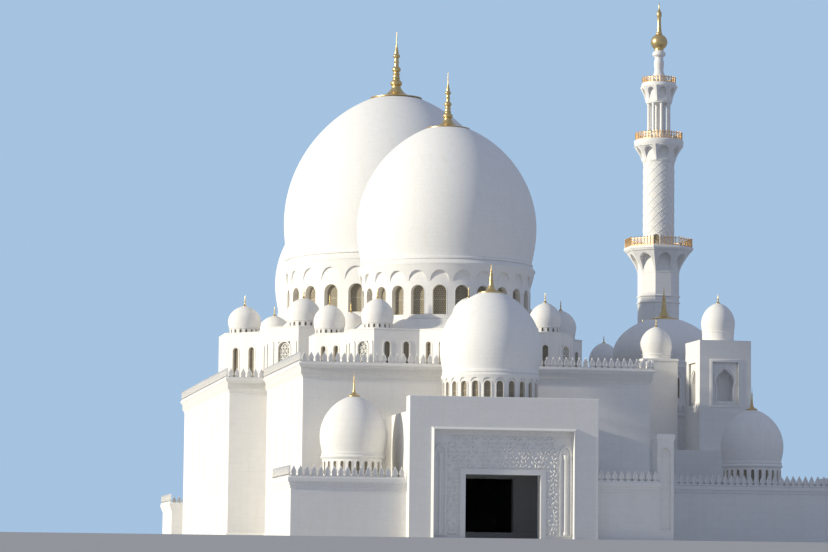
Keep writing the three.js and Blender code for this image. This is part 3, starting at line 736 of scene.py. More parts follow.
class DomeSpec:
    """One dome with its drum and finial, its sizes taken from the frame's nodes. Heights that the
    nodes don't give are stated as the real ones."""

    def __init__(self, prefix, suffix, wide, pole, spring_radius, shell, tiles, drum):
        self.dome, self.drum, self.finial = (
            f"{prefix}{part}{suffix}" for part in ("dome", "drum", "finial"))
        low, high = span(self.dome)
        self.centre = axis_of(self.dome)
        self.springing = low[2]
        self.seat = high[2]
        self.wide_radius = (high[0] - low[0]) / 2
        self.wide = wide
        self.pole = pole
        self.spring_radius = spring_radius
        self.shell = shell
        self.tiles = tiles
        self.windows = drum


# The radius that parts the three big domes from the small ones
BIG_DOME = 10.0
# The share of a bay that the arch cut into the leaning wall above its window spans
SCALLOP_SPAN = 0.84
SIDE_DRUM = {"radius": 13.1, "flare": 13.8, "sill": 34.2, "head": 38.7, "width": 2.13,
             "scallop": (39.25, 40.95), "ledge": 41.8, "bays": 24, "wall": 1.1}
CENTRE_DRUM = {"radius": 18.2, "flare": 18.75, "sill": 38.1, "head": 42.85, "width": 2.7,
               "scallop": (43.5, 45.75), "ledge": 46.9, "bays": 24, "wall": 1.1}
PORCH_DRUM = {"radius": 6.8, "flare": 7.1, "sill": 19.5, "head": 22.45, "width": 1.0,
              "scallop": (22.0, 22.95), "ledge": 23.2, "bays": 24, "wall": 0.7}
EAST_DRUM = {"radius": 8.3, "flare": 8.7, "sill": 25.4, "head": 29.0, "width": 1.2,
             "scallop": (28.6, 29.9), "ledge": 30.6, "bays": 24, "wall": 0.8}


def dome_specs():
    side = (48.6, 65.1, 13.3, 0.8, 96, SIDE_DRUM)
    porch = (27.3, 35.9, 6.9, 0.5, 60, PORCH_DRUM)
    return [
        DomeSpec("", "_south", *side),
        DomeSpec("", "_centre", 54.7, 77.2, 18.4, 1.0, 120, CENTRE_DRUM),
        DomeSpec("", "_north", *side),
        DomeSpec("porch_", "_south", *porch),
        DomeSpec("porch_", "_north", *porch),
        DomeSpec("east_", "", 33.4, 39.9, 8.4, 0.6, 72, EAST_DRUM),
    ]


def dome_shape(spec, segments, steps):
    """A hollow dome shell: the outer bulb over a small ledge, and the same bulb inset within."""
    outer = bulb_profile(spec.springing + 0.5, spec.spring_radius, spec.wide, spec.wide_radius,
                         spec.pole, spec.seat, steps)
    inner = bulb_profile(spec.springing, spec.spring_radius - spec.shell, spec.wide,
                         spec.wide_radius - spec.shell, spec.pole - spec.shell,
                         spec.seat - spec.shell, steps // 3)
    ledge_radius = spec.spring_radius + 0.012 * spec.wide_radius
    ledge = [(ledge_radius, spec.springing), (ledge_radius, spec.springing + 0.28),
             (spec.spring_radius, spec.springing + 0.4)]
    profile = np.concatenate([[(0, spec.seat)], outer[::-1], ledge[::-1], inner,
                              [(0, spec.seat - spec.shell)]])
    return lathe(profile, segments, spec.centre)


def on_round(loop, depth, radius):
    """Wall coordinates wrapped round an upright axis at the origin, the wall facing +X."""
    angle = loop[:, 0] / radius
    reach = radius + depth
    return columns(reach * np.cos(angle), reach * np.sin(angle), loop[:, 1])


def scallop_loop(half_bay, foot, feet, crown, steps):
    """A bay's outline: foot and sides, short level steps in, and over them a half-ellipse arch
    that spans SCALLOP_SPAN of the bay."""
    base, side, count = steps
    loop = arch_loop(half_bay, foot, feet, crown, 0.0, steps)
    turn = np.linspace(0, math.pi, count - 1)
    arch = columns(SCALLOP_SPAN * half_bay * np.cos(turn), feet + (crown - feet) * np.sin(turn))
    loop[base + side + 1:base + side + count] = arch
    return loop


def windowed_drum(drum, foot, top, steps, depth, frame_width, proud):
    """A round wall of equal bays, with as many steps along a bay's foot as over its crown. Each
    bay runs in loops from its outline to a raised frame, the arched opening, the reveal and the
    pane. Above the feet of the outline's arch the wall leans out as a cone that the arch is cut
    back from, up to a ledge; the same columns then run over the top and down the inside."""
    radius, bays = drum["radius"], drum["bays"]
    half_bay = math.pi / bays * radius
    half = drum["width"] / 2
    spring = drum["head"] - half
    feet, crown = drum["scallop"]
    outline = scallop_loop(half_bay, foot, feet, crown, steps)

    def around_window(grow):
        return arch_loop(half + grow, drum["sill"] - grow, spring, drum["head"] + grow, 0.0, steps)

    loops = [on_round(loop, d, radius) for loop, d in (
        (outline, 0.0), (around_window(frame_width), 0.0), (around_window(frame_width), proud),
        (around_window(0.0), proud), (around_window(-0.01), proud * 0.3),
        (around_window(-0.04), -depth))]
    bay = skin(loops, finishes=[STONE, STONE, STONE, REVEAL, REVEAL, PANE, STONE])
    bay.blocks = bay.blocks[:5] + [(bay.blocks[-1][0], PANE)]

    base, side, crown_steps = steps
    arc = outline[base + side:base + side + crown_steps + 1][::-1]
    flare = drum["flare"] - radius
    ledge, lip = drum["ledge"], 0.0015 * radius
    across, edge = arc.T
    rows = [(across, edge, 0.0)]
    for share in (0.0, 0.5, 1.0):
        height = edge * (1 - share) + ledge * share
        rows.append((across, height, lip + (flare - lip) * (height - feet) / (ledge - feet)))
    rise = top - ledge
    rows += [(across, ledge + 0.02 * rise, flare + 3 * lip),
             (across, ledge + 0.24 * rise, flare + 3 * lip), (across, ledge + 0.3 * rise, flare),
             (across, top, flare * 0.3), (across, top, -drum["wall"]),
             (across, foot, -drum["wall"]),
             (np.linspace(-half_bay, half_bay, crown_steps + 1), foot, 0.0)]
    grid = np.stack([on_round(columns(u, z), reach, radius) for u, z, reach in rows])
    index = np.arange(grid.shape[0] * grid.shape[1]).reshape(grid.shape[:2])
    band = Shape(grid.reshape(-1, 3), [(net(index), STONE)])
    return around(joined([bay, band]), bays).welded().outward()


def drum_lattices(drum, depth, pitch, width):
    """The lattice and transom of every drum window, standing just before the pane."""
    half = drum["width"] / 2 - 0.06
    spring = drum["head"] - drum["width"] / 2
    outline = arch_loop(half, drum["sill"] + 0.06, spring, drum["head"] - 0.06, 0.0, (1, 1, 10))
    shift = drum["radius"] - depth
    bars = lattice(outline, pitch, width, 0.01, 0.09,
                   middle_bar=drum["sill"] + 0.52 * (drum["head"] - drum["sill"]))
    return around(on_walls(bars, [(shift, 0, 0, 0)]), drum["bays"])


# A finial's plain outline, as shares of its height and of its collar's radius, and its round
# beads by place, radius and half height
FINIAL_LINE = ((0.0, 1.0), (0.014, 1.0), (0.02, 0.84), (0.035, 0.66), (0.06, 0.45), (0.09, 0.33),
               (0.13, 0.24), (0.166, 0.18), (0.3, 0.13), (0.5, 0.085), (0.7, 0.08), (0.77, 0.04),
               (0.83, 0.02), (1.0, 0.012))
SHORT_FINIAL_LINE = ((0.0, 1.0), (0.045, 1.0), (0.06, 0.8), (0.11, 0.44), (0.17, 0.3), (0.28, 0.2),
                     (0.5, 0.13), (0.7, 0.1), (0.77, 0.06), (0.85, 0.03), (1.0, 0.015))
FINIAL_BEADS = ((0.233, 0.225, 0.06), (0.31, 0.155, 0.012), (0.37, 0.145, 0.014),
                (0.44, 0.168, 0.05), (0.55, 0.105, 0.014), (0.64, 0.138, 0.037))


def finial_profile(foot, tip, radius, line=FINIAL_LINE):
    """The outline of a finial as the larger at each height of its plain line, a collar, hollow
    skirt, tapering rod and cone, and of its round beads, which grow smaller upwards."""
    at = np.linspace(0, 1, 141)
    line_at, line_radius = np.transpose(line)
    outline = np.interp(at, line_at, line_radius)
    for place, size, tall in FINIAL_BEADS:
        outline = np.maximum(outline, size * np.sqrt(np.clip(1 - ((at - place) / tall) ** 2, 0, 1)))
    profile = columns(outline * radius, foot + at * (tip - foot))
    return np.concatenate([[(0, foot)], profile, [(0, tip)]])


def small_finial(foot, height, radius):
    """The outline of a short finial: a little collar, a rod with one bead, and a point."""
    steps = np.array([(0, 0), (1.6, 0), (1.6, 0.05), (1.0, 0.12), (0.5, 0.24), (0.36, 0.4),
                      (0.56, 0.46), (0.56, 0.52), (0.32, 0.58), (0.26, 0.85), (0.1, 1), (0, 1)])
    return steps * (radius, height) + (0, foot)


class MOSQUE_OT_domes(bpy.types.Operator):
    """The six free-standing domes, each a smooth shell over its drum"""

    bl_idname = "mosque.domes"
    bl_label = "Domes"

    def execute(self, _context):
        for spec in dome_specs():
            big = spec.wide_radius > BIG_DOME
            material = dome_marble(f"tiles_{spec.dome}", spec.centre, spec.wide_radius, spec.wide,
                                   spec.tiles)
            shape = dome_shape(spec, 160 if big else 112, 60 if big else 40)
            make_piece(f"{spec.dome}_shell", [shape], [spec.dome], materials=[material],
                       slot="dome_marble")
        return {"FINISHED"}


class MOSQUE_OT_drums(bpy.types.Operator):
    """The round walls under the domes, with arched windows below a scalloped flare"""

    bl_idname = "mosque.drums"
    bl_label = "Drums"

    def execute(self, _context):
        for spec in dome_specs():
            nodes = drum_nodes(spec.drum)
            if spec.wide_radius > BIG_DOME:
                steps, depth, border, proud = (16, 4, 16), sizes().window_depth, 0.08, 0.03
                pitch, bar = sizes().lattice_pitch, sizes().lattice_bar
            else:
                steps, depth, border, proud = (8, 2, 8), 0.35, 0.16, 0.1
                pitch, bar = 0.24, sizes().lattice_bar * 0.7
            wall = windowed_drum(spec.windows, *levels(nodes[0]), steps, depth, border, proud)
            bars = drum_lattices(spec.windows, depth, pitch, bar)
            finishes = wall_finishes()
            finishes[STONE] = round_marble(f"panels_{spec.drum}", spec.centre,
                                           spec.windows["radius"], spec.windows["bays"] * 2)
            make_piece(f"{spec.drum}_wall", [wall, bars], nodes, spec.centre, materials=finishes)
        return {"FINISHED"}


class MOSQUE_OT_finials(bpy.types.Operator):
    """The gilded finials on the free-standing domes"""

    bl_idname = "mosque.finials"
    bl_label = "Finials"

    def execute(self, _context):
        for spec in dome_specs():
            low, high = span(spec.finial)
            line = FINIAL_LINE if spec.wide_radius > BIG_DOME else SHORT_FINIAL_LINE
            profile = finial_profile(low[2], high[2], (high[0] - low[0]) / 2, line)
            gilt(f"{spec.finial}_gilt", lathe(profile, 40, spec.centre), (spec.finial,), 50)
        return {"FINISHED"}


# Upper blocks


UPPER_PLANS = {
    "side": {"face": 17, "corner": 14.1, "bay_root": 7.2, "bay_half": 3.2, "bay_reach": 21},
    "centre": {"face": 23.8, "corner": 19.7, "bay_root": 10.1, "bay_half": 4.5, "bay_reach": 29.4},
}
UPPER_WINDOWS = {
    "side": {"sill": 25.5, "head": 29.6, "narrow": 0.95, "wide": 1.85},
    "centre": {"sill": 25.8, "head": 32.4, "narrow": 1.2, "wide": 2.4},
}
# Where windows stand along each kind of face, as shares of its length
WINDOW_PLACES = {"main": (0.29, 0.71), "slant": (0.29, 0.71), "front": (), "corner": (0.5,),
                 "long": (0.08, 0.2, 0.32, 0.44, 0.56, 0.68, 0.8, 0.92)}
CUPOLAS = {
    "side": {"ring": 18.3, "radius": 2.46, "pole": 36.3, "skirt": 16.2, "drum": 13.5},
    "centre": {"ring": 25.6, "radius": 2.8, "pole": 39.9, "skirt": 22.2, "drum": 18.6},
}
# Each upper block: its kind of plan, and the sides that have a bay, counted from +X in quarters
UPPER_BLOCKS = {"south": ("side", (0, 2, 3)), "centre": ("centre", (0, 1, 2, 3)),
                "north": ("side", (0, 1, 2))}


def upper_plan(kind, bays):
    """The corners of an upper block and the kind of the face that starts at each."""
    sizes_of = UPPER_PLANS[kind]
    face, corner = sizes_of["face"], sizes_of["corner"]
    root, half, reach = sizes_of["bay_root"], sizes_of["bay_half"], sizes_of["bay_reach"]
    corners, kinds = [], []
    for quarter in range(4):
        c, s = [(1, 0), (0, 1), (-1, 0), (0, -1)][quarter]
        has_bay = quarter in bays
        side = [(face, -corner)]
        kinds.append("main" if has_bay else "long")
        if has_bay:
            side += [(face, -root), (reach, -half), (reach, half), (face, root)]
            kinds += ["slant", "front", "slant", "main"]
        side.append((face, corner))
        kinds.append("corner")
        corners += [(x * c - y * s, x * s + y * c) for x, y in side]
    return np.array(corners, float), kinds


def framed_window(width, sill, head, proud, depth, steps, pitch, bar, finish):
    """A window as one closed body in wall coordinates: a raised border round an arched opening,
    the reveal, and the pane at its back, with a lattice before it."""
    half = width / 2
    spring = head - half

    def loop(grow):
        return arch_loop(half + grow, sill - grow, spring, head + grow, 0.0, steps)

    body = stacked(
        [(loop(-0.02), -depth - 0.1), (loop(-0.02), -0.02), (loop(0.2), -0.02), (loop(0.2), proud),
         (loop(-0.02), proud), (loop(-0.05), proud * 0.4), (loop(-0.05), -depth)],
        finishes=[STONE, STONE, STONE, STONE, REVEAL, REVEAL, PANE, STONE])
    inner = arch_loop(half - 0.06, sill + 0.06, spring, head - 0.06, 0.0, (1, 1, 8))
    bars = lattice(inner, pitch, bar, -depth + 0.01, -depth + 0.09)
    return joined([body, bars.painted(finish)])


def wall_places(corners, index, shares, height=0.0):
    """Places on the face from one plan corner to the next, facing outwards."""
    first, last = corners[index], corners[(index + 1) % len(corners)]
    along = last - first
    facing = math.atan2(-along[0], along[1])
    return [(*(first + along * share), height, facing) for share in shares]


def cupola_shape(radius, foot, pole):
    """A small roof dome: a ring of sixteen small arched windows, a ledge and the bulb."""
    wall = radius * 0.9
    top = foot + 0.44 * radius
    drum = {"radius": wall, "flare": wall * 1.07, "sill": foot + 0.12 * radius,
            "head": foot + 0.36 * radius, "width": 0.15 * radius,
            "scallop": (foot + 0.385 * radius, foot + 0.39 * radius),
            "ledge": foot + 0.4 * radius, "bays": 16, "wall": wall * 0.3}
    ring = windowed_drum(drum, foot, top, (3, 1, 3), 0.16, 0.05, 0.03)
    bulb = bulb_profile(top, radius * 0.93, top + 0.42 * radius, radius, pole, pole - 0.02, 22)
    shell = lathe(np.concatenate([[(0, top - 0.05), (radius * 0.9, top - 0.05)], bulb,
                                  [(0, pole)]]), 48)
    return joined([ring, shell])


def cupola_finial(radius, pole):
    """The slender finial of a small roof dome."""
    return lathe(small_finial(pole - 0.03 * radius, 0.68 * radius, 0.085 * radius), 12)


class MOSQUE_OT_upper_blocks(bpy.types.Operator):
    """The stepped blocks under the big domes: their windows, cornices, decks and small domes"""

    bl_idname = "mosque.upper_blocks"
    bl_label = "Upper blocks"

    def execute(self, _context):
        for name, (kind, bays) in UPPER_BLOCKS.items():
            self.block(name, kind, bays)
        return {"FINISHED"}

    def block(self, name, kind, bays):
        node = f"clerestory_{name}"
        dress(node, wall_finishes()[STONE])
        centre = axis_of(f"dome_{name}")
        corners, kinds = upper_plan(kind, bays)
        windows = UPPER_WINDOWS[kind]
        narrow = framed_window(windows["narrow"], windows["sill"], windows["head"], 0.07, 0.5,
                               (2, 2, 10), 0.3, 0.05, LATTICE)
        wide = framed_window(windows["wide"], windows["sill"], windows["head"], 0.09, 0.35,
                             (4, 2, 14), 0.6, 0.13, SCREEN)
        narrow_places, wide_places, strip_places = [], [], []
        for index, face in enumerate(kinds):
            places = wall_places(corners, index, WINDOW_PLACES[face])
            (wide_places if face == "corner" else narrow_places).extend(places)
            if face == "corner":
                strip_places += wall_places(corners, index, (0.1, 0.9))
        strip = arch_loop(0.22, windows["sill"] - 0.4, windows["head"] - 0.4, windows["head"] + 0.1,
                          0.5, (1, 1, 6))
        pilaster = stacked([(strip, -0.02), (strip, 0.12)])
        make_piece(f"windows_{name}",
                   [on_walls(narrow, narrow_places), on_walls(wide, wide_places),
                    on_walls(pilaster, strip_places)], centre=centre)

        cupola = CUPOLAS[kind]
        deck_low = levels(f"roof_{name}")[0]
        deck_top = deck_low + 0.6
        drum_foot = levels(drum_nodes(f"drum_{name}")[0])[0]
        edge = [(-0.8, -0.601), (0, -0.601), (0, -0.2), (0.07, -0.16), (0.07, -0.02), (0.04, 0),
                (-0.8, 0)]
        slope = np.linspace(0, 1, 7)
        skirt = columns(cupola["skirt"] + (cupola["drum"] - cupola["skirt"]) * slope,
                        deck_top - 0.05 + (drum_foot - deck_top) * slope ** 1.25)
        inner = cupola["drum"] - 1.5
        small = cupola_shape(cupola["radius"], deck_top - 0.03, cupola["pole"])
        spots = [i for i in range(8) if i % 2 or i // 2 in bays]
        angles = np.array(spots) * TURN / 8
        moves = columns(cupola["ring"] * np.cos(angles), cupola["ring"] * np.sin(angles), 0)
        make_piece(f"deck_{name}",
                   [moulding(corners, edge, deck_top),
                    prism(offset_plan(corners, -0.7), deck_low, deck_top - 0.02),
                    lathe([(inner, deck_low + 0.1), *skirt, (inner, drum_foot - 0.05)], 128,
                          ring=True),
                    small.at(plan_turns(angles), moves)], [f"roof_{name}"], centre)
        tops = cupola_finial(cupola["radius"], cupola["pole"]).at(plan_turns(angles), moves)
        gilt(f"small_finials_{name}", tops, centre=centre)


# Hall


def hall_plan():
    """The hall's outline from the frame's wall nodes: a wide middle between two wings."""
    end, middle, wing = span("wall_north_wing")[1][1], 34.0, 26.0
    wide = span("wall_centre_east")[1][0]
    return np.array([
        (-wing, -end), (wing, -end), (wing, -middle), (wide, -middle), (wide, middle),
        (wing, middle), (wing, end), (-wing, end), (-wing, middle), (-wide, middle),
        (-wide, -middle), (-wing, -middle)])


class MOSQUE_OT_hall(bpy.types.Operator):
    """The prayer hall: its walls, floor and roof, pilasters, bands and cornice"""

    bl_idname = "mosque.hall"
    bl_label = "Prayer hall"

    def execute(self, _context):
        for part in ("south_wing", "north_wing", "centre_west", "centre_east"):
            dress(f"wall_{part}", wall_finishes()[STONE])
        dress("hall_roof", plain_stone("roof_plaster", tint("roof"), (2.0, 2.0, 0.03), 0.6))
        dress("hall_floor", plain_stone("floor_paving", tint("paving"), (1.2, 1.2, 0.01), 0.3))
        plan = hall_plan()
        base, top = levels("hall_cornice")
        tall = top - base
        crown = [(-1.2, 0), (0.38, 0), (0.38, 0.08), (0.5, 0.16), (0.52, 0.3), (0.62, 0.4),
                 (0.7, 0.46), (0.7, tall - 0.08), (0.64, tall), (-1.2, tall)]
        make_piece("hall_cornice_moulding", [moulding(plan, crown, base)], ["hall_cornice"])
        eaves = levels("hall_roof")[0]
        under = [(-0.3, -0.62), (0.04, -0.62), (0.1, -0.5), (0.1, -0.34), (0.2, -0.26),
                 (0.28, -0.1), (0.28, -0.004), (-0.3, -0.004)]
        foot = [(-0.3, 0), (0.22, 0), (0.22, 0.9), (0.14, 1.05), (0.08, 1.15), (-0.3, 1.15)]
        make_piece("hall_bands", [moulding(plan, under, eaves), moulding(plan, foot),
                                  self.pilasters(plan, eaves)])
        return {"FINISHED"}

    def pilasters(self, plan, eaves):
        """Flat upright strips in pairs along the long sides of the hall."""
        outline = rectangle(-0.35, 0.35, 1.1, eaves - 0.6)
        strip = stacked([(outline, -0.05), (outline, 0.06), (outline * (0.8, 1), 0.14)])
        places = []
        for index, count in ((3, 7), (9, 7), (1, 5), (5, 5), (7, 5), (11, 5)):
            places += wall_places(plan, index, (np.arange(count) + 0.5) / count)
        return on_walls(strip, places)


# Merlons


def merlon_shape():
    """A pointed leaf standing on its foot, with a sunk middle on both faces. Its outline is given
    as half widths at shares of its height."""
    height, depth = sizes().merlon_height, sizes().merlon_depth
    half = [(0.48, 0.0), (0.48, 0.1), (0.25, 0.2), (0.4, 0.38), (0.36, 0.56), (0.16, 0.8)]
    right = [(x, z * height) for x, z in half]
    left = [(-x, z) for x, z in reversed(right)]
    outline = np.array(right + [(0.0, height)] + left)
    middle = np.array([0.0, 0.46 * height])
    inset = middle + (outline - middle) * (0.6, 0.64)
    return stacked([(inset, -depth / 2 + 0.1), (inset, -depth / 2), (outline, -depth / 2),
                    (outline, depth / 2), (inset, depth / 2), (inset, depth / 2 - 0.1)])


def row_places(first, last, facing, height, pitch, inset=0.55):
    """Equal places along a straight parapet, a little in from both of its ends."""
    first, last = np.asarray(first, float), np.asarray(last, float)
    length = np.linalg.norm(last - first)
    count = max(1, round((length - 2 * inset) / pitch) + 1)
    along = (inset + np.arange(count) * (length - 2 * inset) / max(1, count - 1)) / length
    points = first + along[:, None] * (last - first)
    return [(*point, height, facing) for point in points]


def plan_row(plan, height, edges=None):
    """Merlon places along the chosen edges of a plan that runs counter-clockwise."""
    places = []
    for index in (range(len(plan)) if edges is None else edges):
        first, last = plan[index], plan[(index + 1) % len(plan)]
        along = last - first
        places += row_places(first, last, math.atan2(-along[0], along[1]), height,
                             sizes().merlon_pitch)
    return places


GALLERY = {"back": 32.4, "front": 55.2, "half": 32.4, "top": 15.5}
EAST_PORCH_HALF = 12.8


def courtyard_plan(front_inset, side_inset):
    """The plan of the courtyard gallery, a little inside its front and its ends."""
    side = GALLERY["half"] - side_inset
    return rectangle(GALLERY["back"], GALLERY["front"] - front_inset, -side, side)


def east_porch_plan(side_inset, front_inset=0.4):
    """The plan of the courtyard porch, a little inside its front and its sides."""
    side = EAST_PORCH_HALF - side_inset
    front = span("east_porch")[1][0] - front_inset
    return rectangle(GALLERY["back"], front, -side, side)


class MOSQUE_OT_merlons(bpy.types.Operator):
    """Rows of pointed leaf merlons along the parapets"""

    bl_idname = "mosque.merlons"
    bl_label = "Merlons"

    def execute(self, _context):
        leaf = merlon_shape()
        sunk = 0.01
        top = levels("hall_cornice")[1]
        rows_of = {"hall": plan_row(offset_plan(hall_plan(), 0.42), top - sunk)}
        for group, rows in low_parapets().items():
            height = LOW_CORNICE["top"] - sunk + (ARCADE_RISE if group == "arcades" else 0)
            rows_of[group] = [place for plan, edges in rows
                              for place in plan_row(plan, height, edges)]
        high = span("east_porch")[1]
        gallery, porch = courtyard_plan(0.25, 0.4), east_porch_plan(0.4)
        rows_of["courtyard"] = (plan_row(gallery, GALLERY["top"] - sunk, (1,))
                                + plan_row(porch, high[2] - sunk, (0, 1, 2)))
        for group, places in rows_of.items():
            make_piece(f"merlons_{group}", [on_walls(leaf, places)], sharp=20)
        return {"FINISHED"}


# Low rooms


LOW_CORNICE = {"base": 7.1, "top": 8.25, "overhang": 0.45}
LOW_WALL = 0.8
# How much higher than the annexes the arcades stand
ARCADE_RISE = 0.7


def low_rooms():
    """Each low room's node, its walls in plan, and which of its left, right, near and far sides
    carry the projecting cornice."""
    rooms = {}
    inner, front, back = 13.603, 91.5, 74.003
    for side, sign in (("south", -1), ("north", 1)):
        near, far = sorted((sign * front, sign * back))
        ends = (1, 0) if sign < 0 else (0, 1)
        rooms[f"annex_west_{side}"] = (-30.0, -inner, near, far, (1, 0, *ends))
        rooms[f"annex_east_{side}"] = (inner, 22.65, near, far, (0, 1, *ends))
    rooms["arcade_south"] = (26.003, 60.0, -60.0, -48.0, (0, 0, 1, 0))
    rooms["arcade_north"] = (26.003, 56.9, 48.0, 60.0, (0, 0, 0, 1))
    return rooms


GATE_PIER = {"middle": 23.85, "front": 91.5, "half": 1.2, "depth": 3.2, "top": 15.2}
LOW_DOMES = {"annex_west_south": (-19.4, -80.0), "annex_west_north": (-19.4, 80.0),
             "arcade_south": (47.6, -54.0), "arcade_north": (47.6, 54.0)}


def low_parapets():
    """For each pair of low rooms, the plans and edges that carry merlons."""
    rows = {"annexes": [], "arcades": []}
    for name, (x0, x1, y0, y1, overhangs) in low_rooms().items():
        grow = [0.2 if on else -0.2 for on in overhangs]
        plan = rectangle(x0 - grow[0], x1 + grow[1], y0 - grow[2], y1 + grow[3])
        near, right, far, left = range(4)
        if name.startswith("annex"):
            edges = (left if "west" in name else right, near if "south" in name else far)
            rows["annexes"].append((plan, edges))
        else:
            rows["arcades"].append((plan, (near, far, right)))
    return rows


def low_room_shape(x0, x1, y0, y1, overhangs):
    """A low room as one closed body, open at the ground: loops up the outside over the cornice,
    in to the roof, and from the ground up the inside to the ceiling."""
    base, top, reach = LOW_CORNICE["base"], LOW_CORNICE["top"], LOW_CORNICE["overhang"]

    def loop(share, z, grow=0.0):
        left, right, near, far = (share * reach * on + grow for on in overhangs)
        if grow < 0:
            left = right = near = far = grow
        return rectangle(x0 - left, x1 + right, y0 - near, y1 + far), z

    return stacked([
        loop(0, base, -LOW_WALL), loop(0, 0.0, -LOW_WALL), loop(0, 0.0), loop(0, base - 0.4),
        loop(0.25, base - 0.3), loop(0.3, base), loop(0.55, base + 0.08), loop(0.6, base + 0.4),
        loop(0.85, base + 0.5), loop(1, base + 0.6), loop(1, top - 0.08), loop(0.85, top),
        loop(0, top, -0.6), loop(0, top - 0.5, -0.6),
    ])


def low_dome_pieces(x, y, rise):
    """A low dome on its windowed ring, its bulb, and its lattices."""
    drum = {"radius": 4.45, "flare": 4.72, "sill": 8.95, "head": 10.9, "width": 0.52,
            "scallop": (11.15, 11.25), "ledge": 11.45, "bays": 24, "wall": 0.5}
    foot, springing = LOW_CORNICE["top"] - 0.55, 11.9
    ring = windowed_drum(drum, foot, springing, (6, 1, 6), 0.25, 0.1, 0.05)
    bulb = bulb_profile(springing + 0.3, 4.5, 14.6, 4.87, 20.4, 20.38, 36)
    ledge = [(4.62, springing - 0.01), (4.62, springing + 0.2), (4.52, springing + 0.26)]
    shell = lathe(np.concatenate([[(0, springing - 0.01)], ledge, bulb, [(0, 20.4)]]), 88)
    bars = drum_lattices(drum, 0.25, 0.26, 0.04)
    return [shape.moved(x, y, rise) for shape in (ring, shell, bars)]


def gate_pier():
    """A square pier in wall coordinates: its shaft with a framed, sunk arch in front, and its
    cap."""
    half, depth, top = GATE_PIER["half"], GATE_PIER["depth"], GATE_PIER["top"]
    eaves = top - 1.1
    face = arch_loop(half, 0.0, eaves + 0.02, eaves + 0.02, 0.0, (2, 4, 12))

    def arch(grow):
        return arch_loop(0.75 + grow, 1.6 - grow, 12.2, 13.3 + grow, 0.5, (2, 4, 12))

    shaft = stacked([(face, -depth), (face, 0.0), (arch(0.22), 0.0), (arch(0.18), 0.08),
                     (arch(0.04), 0.08), (arch(0.0), 0.0), (arch(-0.01), -0.3)])
    plan = rectangle(-half, half, 0, depth)
    cap = stacked([(offset_plan(plan, offset), z) for offset, z in (
        (0.0, eaves), (0.06, eaves + 0.05), (0.06, eaves + 0.3), (0.14, eaves + 0.42),
        (0.14, top - 0.08), (0.08, top))])
    return joined([shaft, cap.tipped()])


def arch_band(half, foot, spring, head, point, width, proud, steps=14):
    """A raised band round an arch, from the ground up one side, over, and down the other: a
    small square section carried along the outline and closed at both feet."""
    across, rise = arch_line(steps, point)
    across = -across

    def path(grow):
        arch = columns((half + grow) * across, spring + (head - spring + grow) * rise)
        return np.concatenate([[(-half - grow, foot)], arch, [(half + grow, foot)]])

    inner, outer = path(0.0), path(width)
    return swept([(inner, -0.05), (inner, proud * 0.6), ((inner * 3 + outer) / 4, proud),
                  (outer, proud), (outer, -0.05)])


